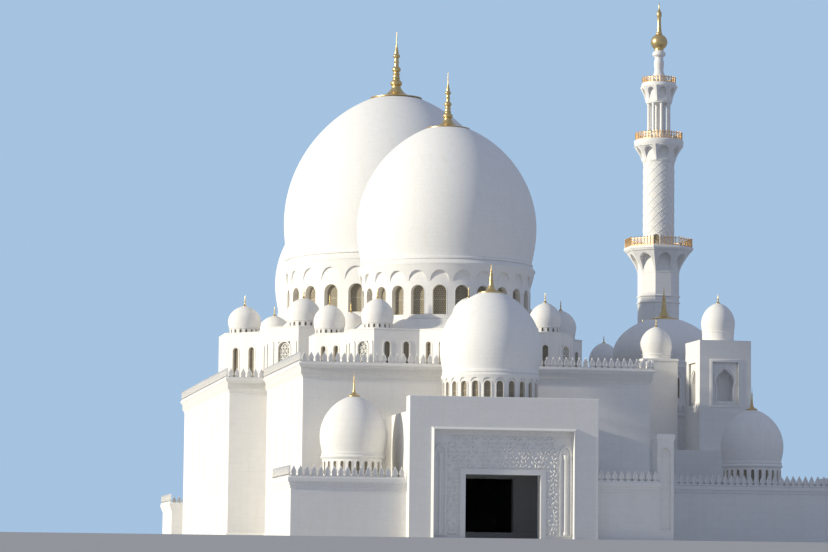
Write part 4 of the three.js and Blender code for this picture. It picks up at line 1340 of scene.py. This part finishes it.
class MOSQUE_OT_low_rooms(bpy.types.Operator):
    """The low rooms beside the porches and the first bays of the courtyard arcades"""

    bl_idname = "mosque.low_rooms"
    bl_label = "Low rooms and arcades"

    def execute(self, _context):
        for name, room in low_rooms().items():
            arcade = name.startswith("arcade")
            shapes = self.arcade(name, *room) if arcade else [low_room_shape(*room)]
            if name.startswith("annex_east"):
                sign = -1 if name.endswith("south") else 1
                place = (GATE_PIER["middle"], sign * GATE_PIER["front"], 0, sign * math.pi / 2)
                shapes.append(on_walls(gate_pier(), [place]))
            if name in LOW_DOMES:
                rise = ARCADE_RISE if arcade else 0.0
                shapes += low_dome_pieces(*LOW_DOMES[name], rise)
                finial = finial_profile(20.3 + rise, 23.9 + rise, 0.85, SHORT_FINIAL_LINE)
                gilt(f"{name}_finial", lathe(finial, 24, LOW_DOMES[name]), sharp=50)
            make_piece(f"{name}_walls", shapes, [name])
        return {"FINISHED"}

    def arcade(self, name, x0, x1, y0, y1, _overhangs):
        """The covered walk: the low room's roof and cornice on three walls, and on the court side
        piers with pointed arches between them."""
        side = -1 if name.endswith("south") else 1
        base, top = LOW_CORNICE["base"] + ARCADE_RISE, LOW_CORNICE["top"] + ARCADE_RISE
        court, outer = (y1, y0) if side < 0 else (y0, y1)
        half, spring, head, pitch = 1.45, 3.6, 5.6, 4.2
        count = math.floor((x1 - x0 - 0.6) / pitch)
        centres = (x0 + x1) / 2 + (np.arange(count) - (count - 1) / 2) * pitch
        shapes = [
            block(x0, x1, *sorted((outer, outer - side * LOW_WALL)), 0, base),
            block(x0 + 0.01, x0 + LOW_WALL, y0 + 0.3, y1 - 0.3, 0, base - 0.01),
            block(x1 - LOW_WALL, x1 - 0.01, y0 + 0.3, y1 - 0.3, 0, base - 0.01),
        ]
        roof_plan = rectangle(x0, x1, y0, y1)
        tall = top - base
        crown = [(-0.6, -0.001), (0.1, -0.001), (0.14, 0.08), (0.16, 0.4), (0.3, 0.5),
                 (0.3, tall - 0.08), (0.24, tall), (-0.6, tall)]
        shapes.append(moulding(roof_plan, crown, base))
        shapes.append(prism(offset_plan(roof_plan, -0.5), base + 0.02, top - 0.5))
        edges = np.concatenate([[x0], (centres[:, None] + (-half, half)).ravel(), [x1]])
        thick = sorted((court, court + side * LOW_WALL))
        for left, right in edges.reshape(-1, 2):
            shapes.append(block(left + 0.002, right - 0.002, *thick, 0, head + 0.2))
        shapes.append(block(x0, x1, *thick, head + 0.2, base))
        facing = math.pi / 2 * (1 if side < 0 else -1)
        fill = self.spandrel(half, spring, head, LOW_WALL)
        band = arch_band(half, 0.0, spring, head, 0.6, 0.22, 0.1)
        places = [(x, court, 0.0, facing) for x in centres]
        return shapes + [on_walls(fill, places), on_walls(band, places)]

    def spandrel(self, half, spring, head, depth):
        """The stone between an arch and the square head above it, as a body with a curved lower
        face."""
        across, rise = arch_line(16, 0.6)
        lower = columns(half * across, spring + (head - spring) * rise)
        upper = columns(half * across, head + 0.2)
        return swept([(lower, -depth), (upper, -depth), (upper, 0.0), (lower, 0.0)])


# Portals


PORTAL = {"outer_half": 13.6, "outer_top": 19.9, "recess_half": 10.05, "recess_top": 15.2,
          "door_half": 5.4, "door_top": 9.0, "recess": 1.2, "thick": 2.997}


def surround(section):
    """A body carried up one jamb, across the head and down the other. The section is a closed
    list of half width, top and depth; both feet stand on the ground."""
    half, top, depth = np.array(section, float).T
    return skin([columns(-half, 0, depth), columns(-half, top, depth), columns(half, top, depth),
                 columns(half, 0, depth)]).outward()


def vine_height(u, v):
    """Relief of climbing stems: each stem is a sine line that a smooth ridge follows, and leaves
    are soft ovals set in turn left and right of it, tilted along the stem."""
    height = np.zeros_like(u)
    for k, phase in enumerate((0.0, 2.1, 4.0)):
        spacing = 2.0
        cell = np.floor((u + k * spacing / 3) / spacing)
        centre = (cell + 0.5) * spacing - k * spacing / 3
        sway = 0.45 * np.sin(0.9 * v + phase + 1.7 * cell)
        stem = np.abs(u - centre - sway)
        height = np.maximum(height, np.clip(1 - (stem / 0.13) ** 2, 0, 1) ** 0.5 * 0.7)
        for side in (-1, 1):
            step = 1.25
            row = np.floor(v / step + 0.5 * (side > 0))
            leaf_v = (row + 0.5 - 0.5 * (side > 0)) * step
            base = centre + 0.45 * np.sin(0.9 * leaf_v + phase + 1.7 * cell)
            du, dv = u - base - side * 0.36, v - leaf_v - 0.1
            along = du * side * 0.8 + dv * 0.6
            across = -du * side * 0.6 + dv * 0.8
            oval = 1 - (along / 0.34) ** 2 - (across / 0.15) ** 2
            height = np.maximum(height, np.clip(oval, 0, 1) ** 0.5)
    return height


def relief_plate(u0, u1, v0, v1, back, front, step=0.085):
    """A plate in wall coordinates whose front follows the vine relief, with straight sides and a
    flat back."""
    across = max(3, round((u1 - u0) / step) + 1)
    rows = max(3, round((v1 - v0) / step) + 1)
    u, v = np.meshgrid(np.linspace(u0, u1, across), np.linspace(v0, v1, rows))
    edge = np.minimum.reduce([u - u0, u1 - u, v - v0, v1 - v])
    fade = np.clip(edge / 0.15, 0, 1)
    d = front + sizes().relief_depth * vine_height(u, v) * fade
    grid = np.stack([u, v, d], -1).reshape(-1, 3)
    index = np.arange(rows * across).reshape(rows, across)
    rim = np.concatenate([index[0, :-1], index[:-1, -1], index[-1, :0:-1], index[:0:-1, 0]])
    below = lifted(grid[rim, :2], back)
    under = rows * across + np.arange(len(rim))
    sides = np.stack([rim, under, np.roll(under, -1), np.roll(rim, -1)], -1)
    blocks = [(net(index), STONE), (sides, STONE), (under[None, ::-1], STONE)]
    return Shape(np.concatenate([grid, below]), blocks).outward()


def portal_shape():
    """The entrance screen in wall coordinates: a plain frame, a rim with a slanted outer side that
    stands out to depth zero round the recess, slender blind arches, vine panels and the raised
    door frame."""
    outer, recess, door = ((PORTAL[f"{part}_half"], PORTAL[f"{part}_top"])
                           for part in ("outer", "recess", "door"))
    wall, back = -PORTAL["recess"], -PORTAL["thick"]
    screen = surround([(half + grow, top + grow, depth) for (half, top), grow, depth in (
        (outer, 0, back), (outer, 0, -0.36), (outer, -0.06, -0.3), (recess, 0.4, -0.3),
        (recess, 0.08, 0), (recess, 0, 0), (recess, 0, wall), (door, 0.75, wall),
        (door, 0.75, wall + 0.22), (door, 0.2, wall + 0.3), (door, 0, wall + 0.3),
        (door, 0, back))])
    outside, inside = (arch_loop(half, foot, 12.0, head, 0.5, (2, 4, 12)) for half, foot, head in (
        (0.86, 0.4, 13.25), (0.66, 0.6, 13.0)))
    frame_loops = stacked([(outside, wall - 0.05), (outside, wall + 0.26), (inside, wall + 0.26),
                           (inside, wall + 0.02)])
    column = lathe([(0, 0.6), (0.3, 0.6), (0.3, 1.0), (0.2, 1.15), (0.2, 11.2), (0.28, 11.4),
                    (0.34, 11.9), (0, 11.9)], 16)
    niche = joined([frame_loops, column.tipped().moved(0, 0, wall + 0.12)])
    depths = (wall - 0.02, wall + 0.03)
    shapes = [screen, relief_plate(-7.9, 7.9, door[1] + 0.95, 14.4, *depths)]
    for sign in (-1, 1):
        u0, u1 = sorted((sign * (door[0] + 0.95), sign * 7.9))
        shapes += [niche.moved(sign * 9.0, 0), relief_plate(u0, u1, 0.5, door[1] + 0.85, *depths)]
    return joined(shapes)


class MOSQUE_OT_portals(bpy.types.Operator):
    """The end porches with their entrance screens"""

    bl_idname = "mosque.portals"
    bl_label = "Porches and portals"

    def execute(self, _context):
        whole = portal_shape()
        for side, sign in (("south", -1), ("north", 1)):
            dress(f"porch_{side}", wall_finishes()[STONE])
            low, high = span(f"portal_{side}")
            front = low[1] if sign < 0 else high[1]
            screen = on_walls(whole, [(0, front, 0, sign * math.pi / 2)])
            make_piece(f"portal_{side}_screen", [screen], [f"portal_{side}"], sharp=40)
        return {"FINISHED"}


# Courtyard side


TURRET_TOP = 33.75
PIER_TOP = 31.1


def four_sides(x, y, half_x, half_y):
    """Places at the foot of each side of an upright block, facing outwards."""
    return [(x + half_x, y, 0, 0), (x, y + half_y, 0, math.pi / 2), (x - half_x, y, 0, math.pi),
            (x, y - half_y, 0, -math.pi / 2)]


class MOSQUE_OT_courtyard(bpy.types.Operator):
    """The courtyard porch, the two turrets and the corner piers"""

    bl_idname = "mosque.courtyard"
    bl_label = "Courtyard side"

    def execute(self, _context):
        for node in ("east_porch", "turret_south", "turret_north", "corner_pier_south",
                     "corner_pier_north"):
            dress(node, wall_finishes()[STONE])
        high = span("east_porch")[1]
        door = arch_band(5.0, 0.0, 8.0, 13.0, 0.5, 0.5, 0.16)
        small = arch_band(2.1, 0.0, 7.5, 11.0, 0.5, 0.3, 0.12)
        bay = (GALLERY["half"] - EAST_PORCH_HALF) / 3
        places = [(GALLERY["front"], sign * (EAST_PORCH_HALF + bay * (i + 0.5)), 0, 0)
                  for i in range(3) for sign in (-1, 1)]
        crown = [(-0.4, -0.7), (0.03, -0.7), (0.08, -0.55), (0.16, -0.5), (0.2, -0.1),
                 (0.14, -0.001), (-0.4, -0.001)]
        make_piece("courtyard_arches",
                   [on_walls(door, [(high[0], 0, 0, 0)]), on_walls(small, places),
                    moulding(east_porch_plan(0.0, 0.2), crown, high[2]),
                    moulding(courtyard_plan(0.2, 0.2), crown, GALLERY["top"])])
        for side in ("south", "north"):
            self.turret(side)
            self.pier(side)
        return {"FINISHED"}

    def turret(self, side):
        """A framed panel with a horseshoe arch on each side, bands, and a smooth dome."""
        low, high = span(f"turret_{side}")
        x, y = (low[:2] + high[:2]) / 2
        top = TURRET_TOP
        sill, centre = top - 9.95, top - 6.55
        angles = np.linspace(-0.62, math.pi + 0.62, 29)
        arch = columns(1.62 * np.cos(angles), centre + 1.8 * np.sin(angles))
        leg = columns(arch[0, 0], [sill, arch[0, 1] - 0.05])
        path = np.concatenate([leg, arch, leg[::-1] * (-1, 1)])
        middle = np.array([0.0, centre - 0.9])
        outer = middle + (path - middle) * (1.16, 1.1)
        outer[[0, -1], 1] = sill
        band = swept([(path, -0.4), (path, -0.2), (outer, -0.2), (outer, -0.4)])
        panel = rectangle(-2.5, 2.5, top - 10.95, top - 3.25)
        ring = moulding(panel, [(0, -0.36), (0, -0.01), (-0.32, -0.01), (-0.32, 0.09), (0.02, 0.09),
                                (0.2, 0), (0.2, -0.36)])
        places = four_sides(x, y, *(high[:2] - low[:2]) / 2)
        foot = [(0, 0), (2.66, 0), (2.66, 0.3), (2.6, 0.36), (2.6, 1.45), (2.68, 1.5),
                (2.68, 1.62), (2.62, 1.68)]
        bulb = bulb_profile(1.7, 2.62, 3.1, 2.78, 6.5, 6.48, 26)
        dome = lathe(np.concatenate([foot, bulb, [(0, 6.5)]]), 64, (x, y), top)
        make_piece(f"turret_trim_{side}", [on_walls(band, places), on_walls(ring, places), dome])
        gilt(f"turret_finial_{side}", lathe(small_finial(top + 6.4, 1.5, 0.26), 16, (x, y)))

    def pier(self, side):
        """A cornice round the corner pier, and a smooth dome."""
        low, high = span(f"corner_pier_{side}")
        x, y = (low[:2] + high[:2]) / 2
        top = PIER_TOP
        crown = [(-0.3, -0.5), (0.02, -0.5), (0.12, -0.36), (0.12, -0.06), (0.06, -0.002),
                 (-0.3, -0.002)]
        cornice = moulding(rectangle(low[0], high[0], low[1], high[1]), crown, top)
        foot = [(0, 0), (2.44, 0), (2.44, 0.6), (2.56, 0.66), (2.56, 0.8)]
        bulb = bulb_profile(0.9, 2.46, 2.35, 2.66, 5.5, 5.48, 24)
        dome = lathe(np.concatenate([foot, bulb, [(0, 5.5)]]), 64, (x, y), top)
        make_piece(f"corner_pier_trim_{side}", [cornice, dome])
        gilt(f"corner_pier_finial_{side}", lathe(small_finial(top + 5.42, 1.4, 0.22), 16, (x, y)))


# Minaret


def flared_face(count, profile, niche, steps, back_radius):
    """One face of a many-sided shaft whose half width grows with its flare, and in it a niche
    with an arched top. The outline runs in loops to the niche's edge, each point's reach read
    from the profile at its height, and from the edge straight back to the niche's flat wall."""
    reaches, heights = profile.T
    low, high = heights[0], heights[-1]
    half_foot, half_top, foot, spring, head = niche
    outline = arch_loop(math.tan(math.pi / count), low, high, high, 0.0, steps)
    outline[:, 0] *= np.interp(outline[:, 1], heights, reaches)
    inner = arch_loop(half_top, foot, spring, head, 0.25, steps)
    up = np.clip((inner[:, 1] - foot) / (spring - foot), 0, 1)
    inner[:, 0] *= (half_foot + (half_top - half_foot) * up) / half_top
    loops = []
    for share in np.linspace(0, 1, 7):
        x, z = (outline * (1 - share) + inner * share).T
        loops.append(columns(x, z, np.interp(z, heights, reaches)))
    loops.append(lifted(inner, back_radius))
    whole = skin(loops)
    whole.blocks = whole.blocks[:7] + whole.blocks[-1:]
    return on_walls(whole, [(0, 0, 0, 0)])


class MOSQUE_OT_minaret(bpy.types.Operator):
    """The minaret from its square base to the gilded finial"""

    bl_idname = "mosque.minaret"
    bl_label = "Minaret"

    def execute(self, _context):
        self.centre = axis_of("minaret_round_shaft")
        self.base()
        self.octagon_shaft()
        self.lower_balcony()
        self.round_shaft()
        self.upper_balcony()
        self.lantern()
        self.crown()
        self.finial()
        return {"FINISHED"}

    def turn_out(self, name, shapes, node=None, **options):
        """Makes a piece on the minaret's axis, in place of a frame node where one is named."""
        make_piece(name, shapes, [node] if node else [], self.centre, **options)

    def base(self):
        dress("minaret_base", wall_finishes()[STONE])
        plan = rectangle(-5, 5, -5, 5)
        foot = [(-0.3, 0), (0.25, 0), (0.25, 1.2), (0.12, 1.5), (-0.3, 1.5)]
        crown = [(-0.3, 0), (0.02, 0), (0.15, 0.2), (0.2, 0.4), (0.2, 0.8), (0.1, 0.99),
                 (-0.3, 0.99)]
        panel = rectangle(-3.4, 3.4, 4.0, 33.0)
        frame_ring = moulding(
            panel, [(0.25, -0.05), (0.25, 0.1), (0, 0.1), (-0.1, 0), (-0.1, -0.05)])
        self.turn_out("minaret_base_trim", [moulding(plan, foot), moulding(plan, crown, 35.0),
                                            on_walls(frame_ring, four_sides(0, 0, 5, 5))])

    def flare(self, foot, top, inner, outer, rows=14):
        """A flare that starts upright and bends outwards as a quarter wave."""
        share = np.linspace(0, 1, rows)
        reach = inner + (outer - inner) * (1 - np.cos(share * math.pi / 2)) ** 0.85
        return columns(reach, foot + (top - foot) * share)

    def capital(self, count, foot, top, inner, outer, niche, steps=(6, 14, 10)):
        """A flared capital with a niche in each face, closed by its two level ends."""
        profile = self.flare(foot, top, inner, outer)
        face = flared_face(count, profile, niche, steps, inner + 0.04)
        ring = around(face, count)
        tangent = math.tan(math.pi / count)
        foot_line = np.linspace(-1, 1, steps[0] + 1)
        top_line = -np.cos(np.linspace(0, math.pi, steps[2] + 1))
        caps = []
        for reach, height, line, way in ((inner, foot, foot_line, -1), (outer, top, top_line, 1)):
            side = columns(reach, line * tangent * reach, height)[:-1]
            rim = around(Shape(side, []), count).points
            caps.append(Shape(rim, [(np.arange(len(rim))[None, ::way], STONE)]))
        return joined([ring, *caps]).welded().outward()

    def octagon_shaft(self):
        foot, top = levels("minaret_octagon_shaft")
        wide = 3.73
        profile = [(0, foot), (wide, foot)]
        for height in (47.6, 48.8):
            profile += [(wide, height - 0.16), (wide + 0.14, height - 0.08), (wide + 0.2, height),
                        (wide + 0.2, height + 0.12), (wide, height + 0.26)]
        profile += [(wide, 53.3), (0, 53.3)]
        capital = self.capital(8, 53.2, top, wide, 5.95, (1.2, 1.25, 53.35, 55.9, 57.1))
        slab = octagon([(0, 57.5), (5.9, 57.5), (6.0, 57.6), (6.0, top), (0, top)])
        self.turn_out("minaret_octagon", [octagon(profile), capital, slab],
                      "minaret_octagon_shaft")

    def railing(self, name, node, count, radius, foot, top, posts):
        """A light railing of many straight sides: posts with small knobs, two rails, and thin
        crossing bars between them. One side is worked out once and repeated round."""
        half = radius * math.tan(math.pi / count)
        height = top - foot
        post = np.array([(0, 0), (0.075, 0), (0.075, 0.86), (0.12, 0.9), (0.12, 0.95), (0, 1)])
        across = (np.arange(posts) + 1) / posts * 2 * half - half
        knobs = [lathe(post * (1, height), 6, (radius, y), foot) for y in across]
        outline = rectangle(-half, half, foot + 0.1, foot + 0.76 * height)
        bars = lattice(outline, 0.36, 0.045, -0.02, 0.02, angles=(45, 135))
        rails = [flat_bars(np.array([[-half, z]]), np.array([[half, z]]), 0.1, -0.05, 0.05)
                 for z in (foot + 0.08, foot + 0.8 * height)]
        side = on_walls(joined([bars, *rails]), [(radius, 0, 0, 0)])
        metal = kept(metal_material, "railing_metal", tint("railing"), 0.42)
        self.turn_out(name, [around(joined([*knobs, side]), count)], node, materials=[metal],
                      slot="gilded_railing")

    def lower_balcony(self):
        foot, top = levels("minaret_lower_balcony")
        slab = [(0, 0), (6.1, 0), (6.1, 0.12), (6.22, 0.2), (6.27, 0.45), (6.22, 0.66),
                (6.05, 0.76), (0, 0.76)]
        self.turn_out("minaret_lower_slab", [octagon(slab, foot)])
        self.railing("minaret_lower_railing", "minaret_lower_balcony", 8, 6.02, foot + 0.74,
                     top, 7)

    def round_shaft(self):
        foot, top = levels("minaret_round_shaft")
        neck = 75.3
        tall = neck - foot
        shaft = lathe([(0, 0), (3.4, 0), (3.4, 0.35), (3.2, 0.5), (3.0, 0.6), (3.0, tall - 0.3),
                       (3.14, tall - 0.2), (3.14, tall + 0.02), (0, tall + 0.02)], 64, foot=foot)
        capital = self.capital(8, neck, top, 3.08, 4.5, (0.9, 0.95, 75.4, 77.1, 77.95))
        ribs = self.ribs(3.0, foot + 0.6, neck - 0.25, 10)
        door = self.door(3.0, foot + 0.05)
        slab = lathe([(0, -0.15), (4.62, -0.15), (4.62, 0), (0, 0)], 48, foot=top)
        self.turn_out("minaret_round", [shaft, capital, ribs, door, slab], "minaret_round_shaft")

    def ribs(self, radius, low, high, count):
        """Raised lines that climb the shaft both ways and cross: the angle grows evenly with the
        height, and a small square section is carried along."""
        share = np.linspace(0, 1, 61)
        height = low + (high - low) * share
        half = sizes().rib_width / 2
        section = ((-half, -0.04), (half, -0.04), (half / 2, 0.05), (-half / 2, 0.05))
        shapes = []
        for way in (-1, 1):
            angle = way * (height - low) / radius
            slope = np.array([1.0, way]) / math.sqrt(2)
            loops = []
            for across, out in section:
                a = angle - across * slope[0] * way / radius
                z = np.clip(height + across * slope[0], low, high)
                loops.append(columns((radius + out) * np.cos(a), (radius + out) * np.sin(a), z))
            shapes.append(around(skin(np.stack(loops, axis=1)).outward(), count))
        return joined(shapes)

    def door(self, radius, foot):
        """A small framed door on the shaft, facing the front."""
        outside = arch_loop(0.75, foot, foot + 1.9, foot + 2.45, 0.2, (2, 2, 8))
        inside = arch_loop(0.55, foot + 0.1, foot + 1.85, foot + 2.25, 0.2, (2, 2, 8))
        body = stacked([(outside, -0.5), (outside, 0.22), (inside, 0.22), (inside, 0.02)],
                       finishes=[STONE, STONE, REVEAL, PANE, STONE])
        facing = -math.radians(112)
        return on_walls(body, [(radius * math.cos(facing), radius * math.sin(facing), 0, facing)])

    def upper_balcony(self):
        foot, top = levels("minaret_upper_balcony")
        slab = [(0, 0), (4.62, 0), (4.7, 0.2), (4.79, 0.5), (4.79, 0.95), (4.66, 1.15), (0, 1.2)]
        self.turn_out("minaret_upper_slab", [lathe(slab, 64, foot=foot)])
        self.railing("minaret_upper_railing", "minaret_upper_balcony", 16, 4.42, foot + 1.18,
                     top, 3)

    def lantern(self):
        foot, top = levels("minaret_lantern")
        drum = lathe([(0, 0), (2.5, 0), (2.5, 0.9), (2.42, 1.05), (2.3, 1.1), (0, 1.1)], 48,
                     foot=foot)
        head = lathe([(0, -0.35), (2.36, -0.35), (2.48, -0.25), (2.48, -0.06), (2.42, 0), (0, 0)],
                     48, foot=top)
        core = lathe([(0, foot + 1), (1.3, foot + 1), (1.3, top - 0.3), (0, top - 0.3)], 32)
        column = lathe([(0, foot + 1), (0.36, foot + 1), (0.36, foot + 1.25), (0.3, foot + 1.4),
                        (0.3, top - 0.8), (0.36, top - 0.6), (0.36, top - 0.3), (0, top - 0.3)],
                       20, (2.0, 0.0))
        columns = around(column, 8)
        self.turn_out("minaret_lantern_stage", [drum, head, core, columns], "minaret_lantern")

    def crown(self):
        foot = levels("minaret_crown")[0]
        capital = self.capital(8, foot, 89.85, 2.42, 3.42, (0.66, 0.7, 87.2, 88.9, 89.6))
        slab = lathe([(0, 0), (3.42, 0), (3.45, 0.1), (3.42, 0.4), (3.3, 0.6), (3.3, 0.78),
                      (0, 0.78)], 48, foot=89.8)
        height, radius = np.transpose([(90.5, 1.95), (91.0, 1.72), (91.8, 1.42), (92.5, 1.02),
                                       (93.2, 0.85), (94.0, 0.94), (94.6, 1.0), (95.1, 0.9),
                                       (95.5, 0.8)])
        at = np.linspace(90.5, 95.5, 31)
        neck = columns(np.interp(at, height, radius), at)
        ring = [(0.82, 95.7), (1.0, 95.9), (1.24, 96.1), (1.28, 96.4), (1.22, 96.7), (0.92, 96.85),
                (0.86, 96.998)]
        neck = lathe(np.concatenate([[(0, 90.5)], neck, ring, [(0, 96.998)]]), 48)
        self.turn_out("minaret_crown_stage", [capital, slab, neck], "minaret_crown")
        self.railing("minaret_crown_railing", None, 16, 3.12, 90.56, 91.8, 2)

    def finial(self):
        foot, tip = levels("minaret_finial")
        angle = np.linspace(-1.0, 1.2, 28)
        ball = columns(1.62 * np.cos(angle), 1.72 + 1.57 * np.sin(angle))
        stem = [(0.5, 3.2), (0.62, 3.3), (0.62, 3.5), (0.5, 3.62), (0.5, 3.8), (0.42, 4.5),
                (0.37, 5.6), (0.36, 6.6), (0.46, 6.8), (0.53, 7.2), (0.46, 7.6), (0.28, 7.9),
                (0.1, 8.4), (0.12, 8.9), (0.12, 9.05), (0.05, 9.2)]
        profile = np.concatenate([[(0, 0), (0.86, 0)], ball, stem, [(0, tip - foot)]])
        gilt("minaret_gilt", lathe(profile, 48, foot=foot), ["minaret_finial"], 50, self.centre)


# Stage


CAMERA = {"place": (-8.961, -52.159, -0.545), "yaw": 10.117, "rise": 5.53, "roll": 0.609,
          "lens": 135.1}
SUN = {"from_front": 85.0, "height": 15.0, "strength": 4.2, "softness": 2.0}
SHADE_LIGHT = (0.31, 0.36, 0.485)


class MOSQUE_OT_stage(bpy.types.Operator):
    """The plain floor, the lights and the camera"""

    bl_idname = "mosque.stage"
    bl_label = "Stage, light and camera"

    def execute(self, context):
        scene = context.scene
        material, tree, shader, _places, real = start_material("stage_floor")
        weather = group_node(tree, "Weathering", {"Place": real})
        colour = tint("floor")
        tone = mixed(tree, times(tree, weather.outputs["Grain"], 0.1), colour, shaded(colour, 0.9))
        tree.links.new(tone, shader.inputs["Base Color"])
        shader.inputs["Roughness"].default_value = 0.8
        for name, sides in (("stage_upper", (-400, 400, -98, 400, -16, 0)),
                            ("stage_lower", (-400, 400, -900, -98, -18, -16))):
            shape = block(*sides)
            mesh = bpy.data.meshes.new(name)
            faces = [face.tolist() for block_faces, _f in shape.blocks for face in block_faces]
            mesh.from_pydata((shape.points * METRE).tolist(), [], faces)
            mesh.materials.append(material)
            floor = bpy.data.objects.new(name, mesh)
            scene.collection.objects.link(floor)
        self.camera(scene)
        self.light(scene)
        return {"FINISHED"}

    def camera(self, scene):
        camera = bpy.data.cameras.new("camera")
        camera.lens = CAMERA["lens"]
        camera.sensor_width = 36
        camera.clip_end = 500
        holder = bpy.data.objects.new("camera", camera)
        holder.location = CAMERA["place"]
        level = Euler((math.radians(90 + CAMERA["rise"]), 0, -math.radians(CAMERA["yaw"])))
        roll = Matrix.Rotation(math.radians(CAMERA["roll"]), 3, "Z")
        holder.rotation_euler = (level.to_matrix() @ roll).to_euler()
        scene.collection.objects.link(holder)
        scene.camera = holder

    def light(self, scene):
        world = bpy.data.worlds.new("surround")
        world.use_nodes = True
        tree = world.node_tree
        seen = put(tree, "ShaderNodeLightPath").outputs["Is Camera Ray"]
        sky = mixed(tree, seen, SHADE_LIGHT, tint("sky"))
        tree.links.new(sky, tree.nodes["Background"].inputs["Color"])
        scene.world = world
        sun = bpy.data.lights.new("key", "SUN")
        sun.energy = SUN["strength"]
        sun.angle = math.radians(SUN["softness"])
        sun.color = (1.0, 0.93, 0.76)
        holder = bpy.data.objects.new("key", sun)
        turn = math.radians(SUN["from_front"])
        holder.rotation_euler = (math.radians(90 - SUN["height"]), 0, -turn)
        scene.collection.objects.link(holder)
        scene.view_settings.view_transform = "Standard"


OPERATORS = (MOSQUE_OT_stage, MOSQUE_OT_domes, MOSQUE_OT_drums, MOSQUE_OT_finials,
             MOSQUE_OT_upper_blocks, MOSQUE_OT_hall, MOSQUE_OT_merlons, MOSQUE_OT_low_rooms,
             MOSQUE_OT_portals, MOSQUE_OT_courtyard, MOSQUE_OT_minaret)


class MOSQUE_PT_panel(bpy.types.Panel):
    """Buttons for every group of pieces, and their sizes and colours"""

    bl_idname = "MOSQUE_PT_panel"
    bl_label = "Mosque"
    bl_space_type = "VIEW_3D"
    bl_region_type = "UI"
    bl_category = "Mosque"

    def draw(self, context):
        layout = self.layout
        for group in (context.scene.mosque_sizes, context.scene.mosque_colours):
            for name in group.__annotations__:
                layout.prop(group, name)
        for operator in OPERATORS:
            layout.operator(operator.bl_idname)


CLASSES = (MosqueSizes, MosqueColours, *OPERATORS, MOSQUE_PT_panel)


def register():
    for cls in CLASSES:
        bpy.utils.register_class(cls)
    bpy.types.Scene.mosque_sizes = bpy.props.PointerProperty(type=MosqueSizes)
    bpy.types.Scene.mosque_colours = bpy.props.PointerProperty(type=MosqueColours)


def unregister():
    del bpy.types.Scene.mosque_colours
    del bpy.types.Scene.mosque_sizes
    for cls in reversed(CLASSES):
        bpy.utils.unregister_class(cls)


def main():
    register()
    for operator in OPERATORS:
        group, name = operator.bl_idname.split(".")
        getattr(getattr(bpy.ops, group), name)()


if __name__ == "__main__":
    main()
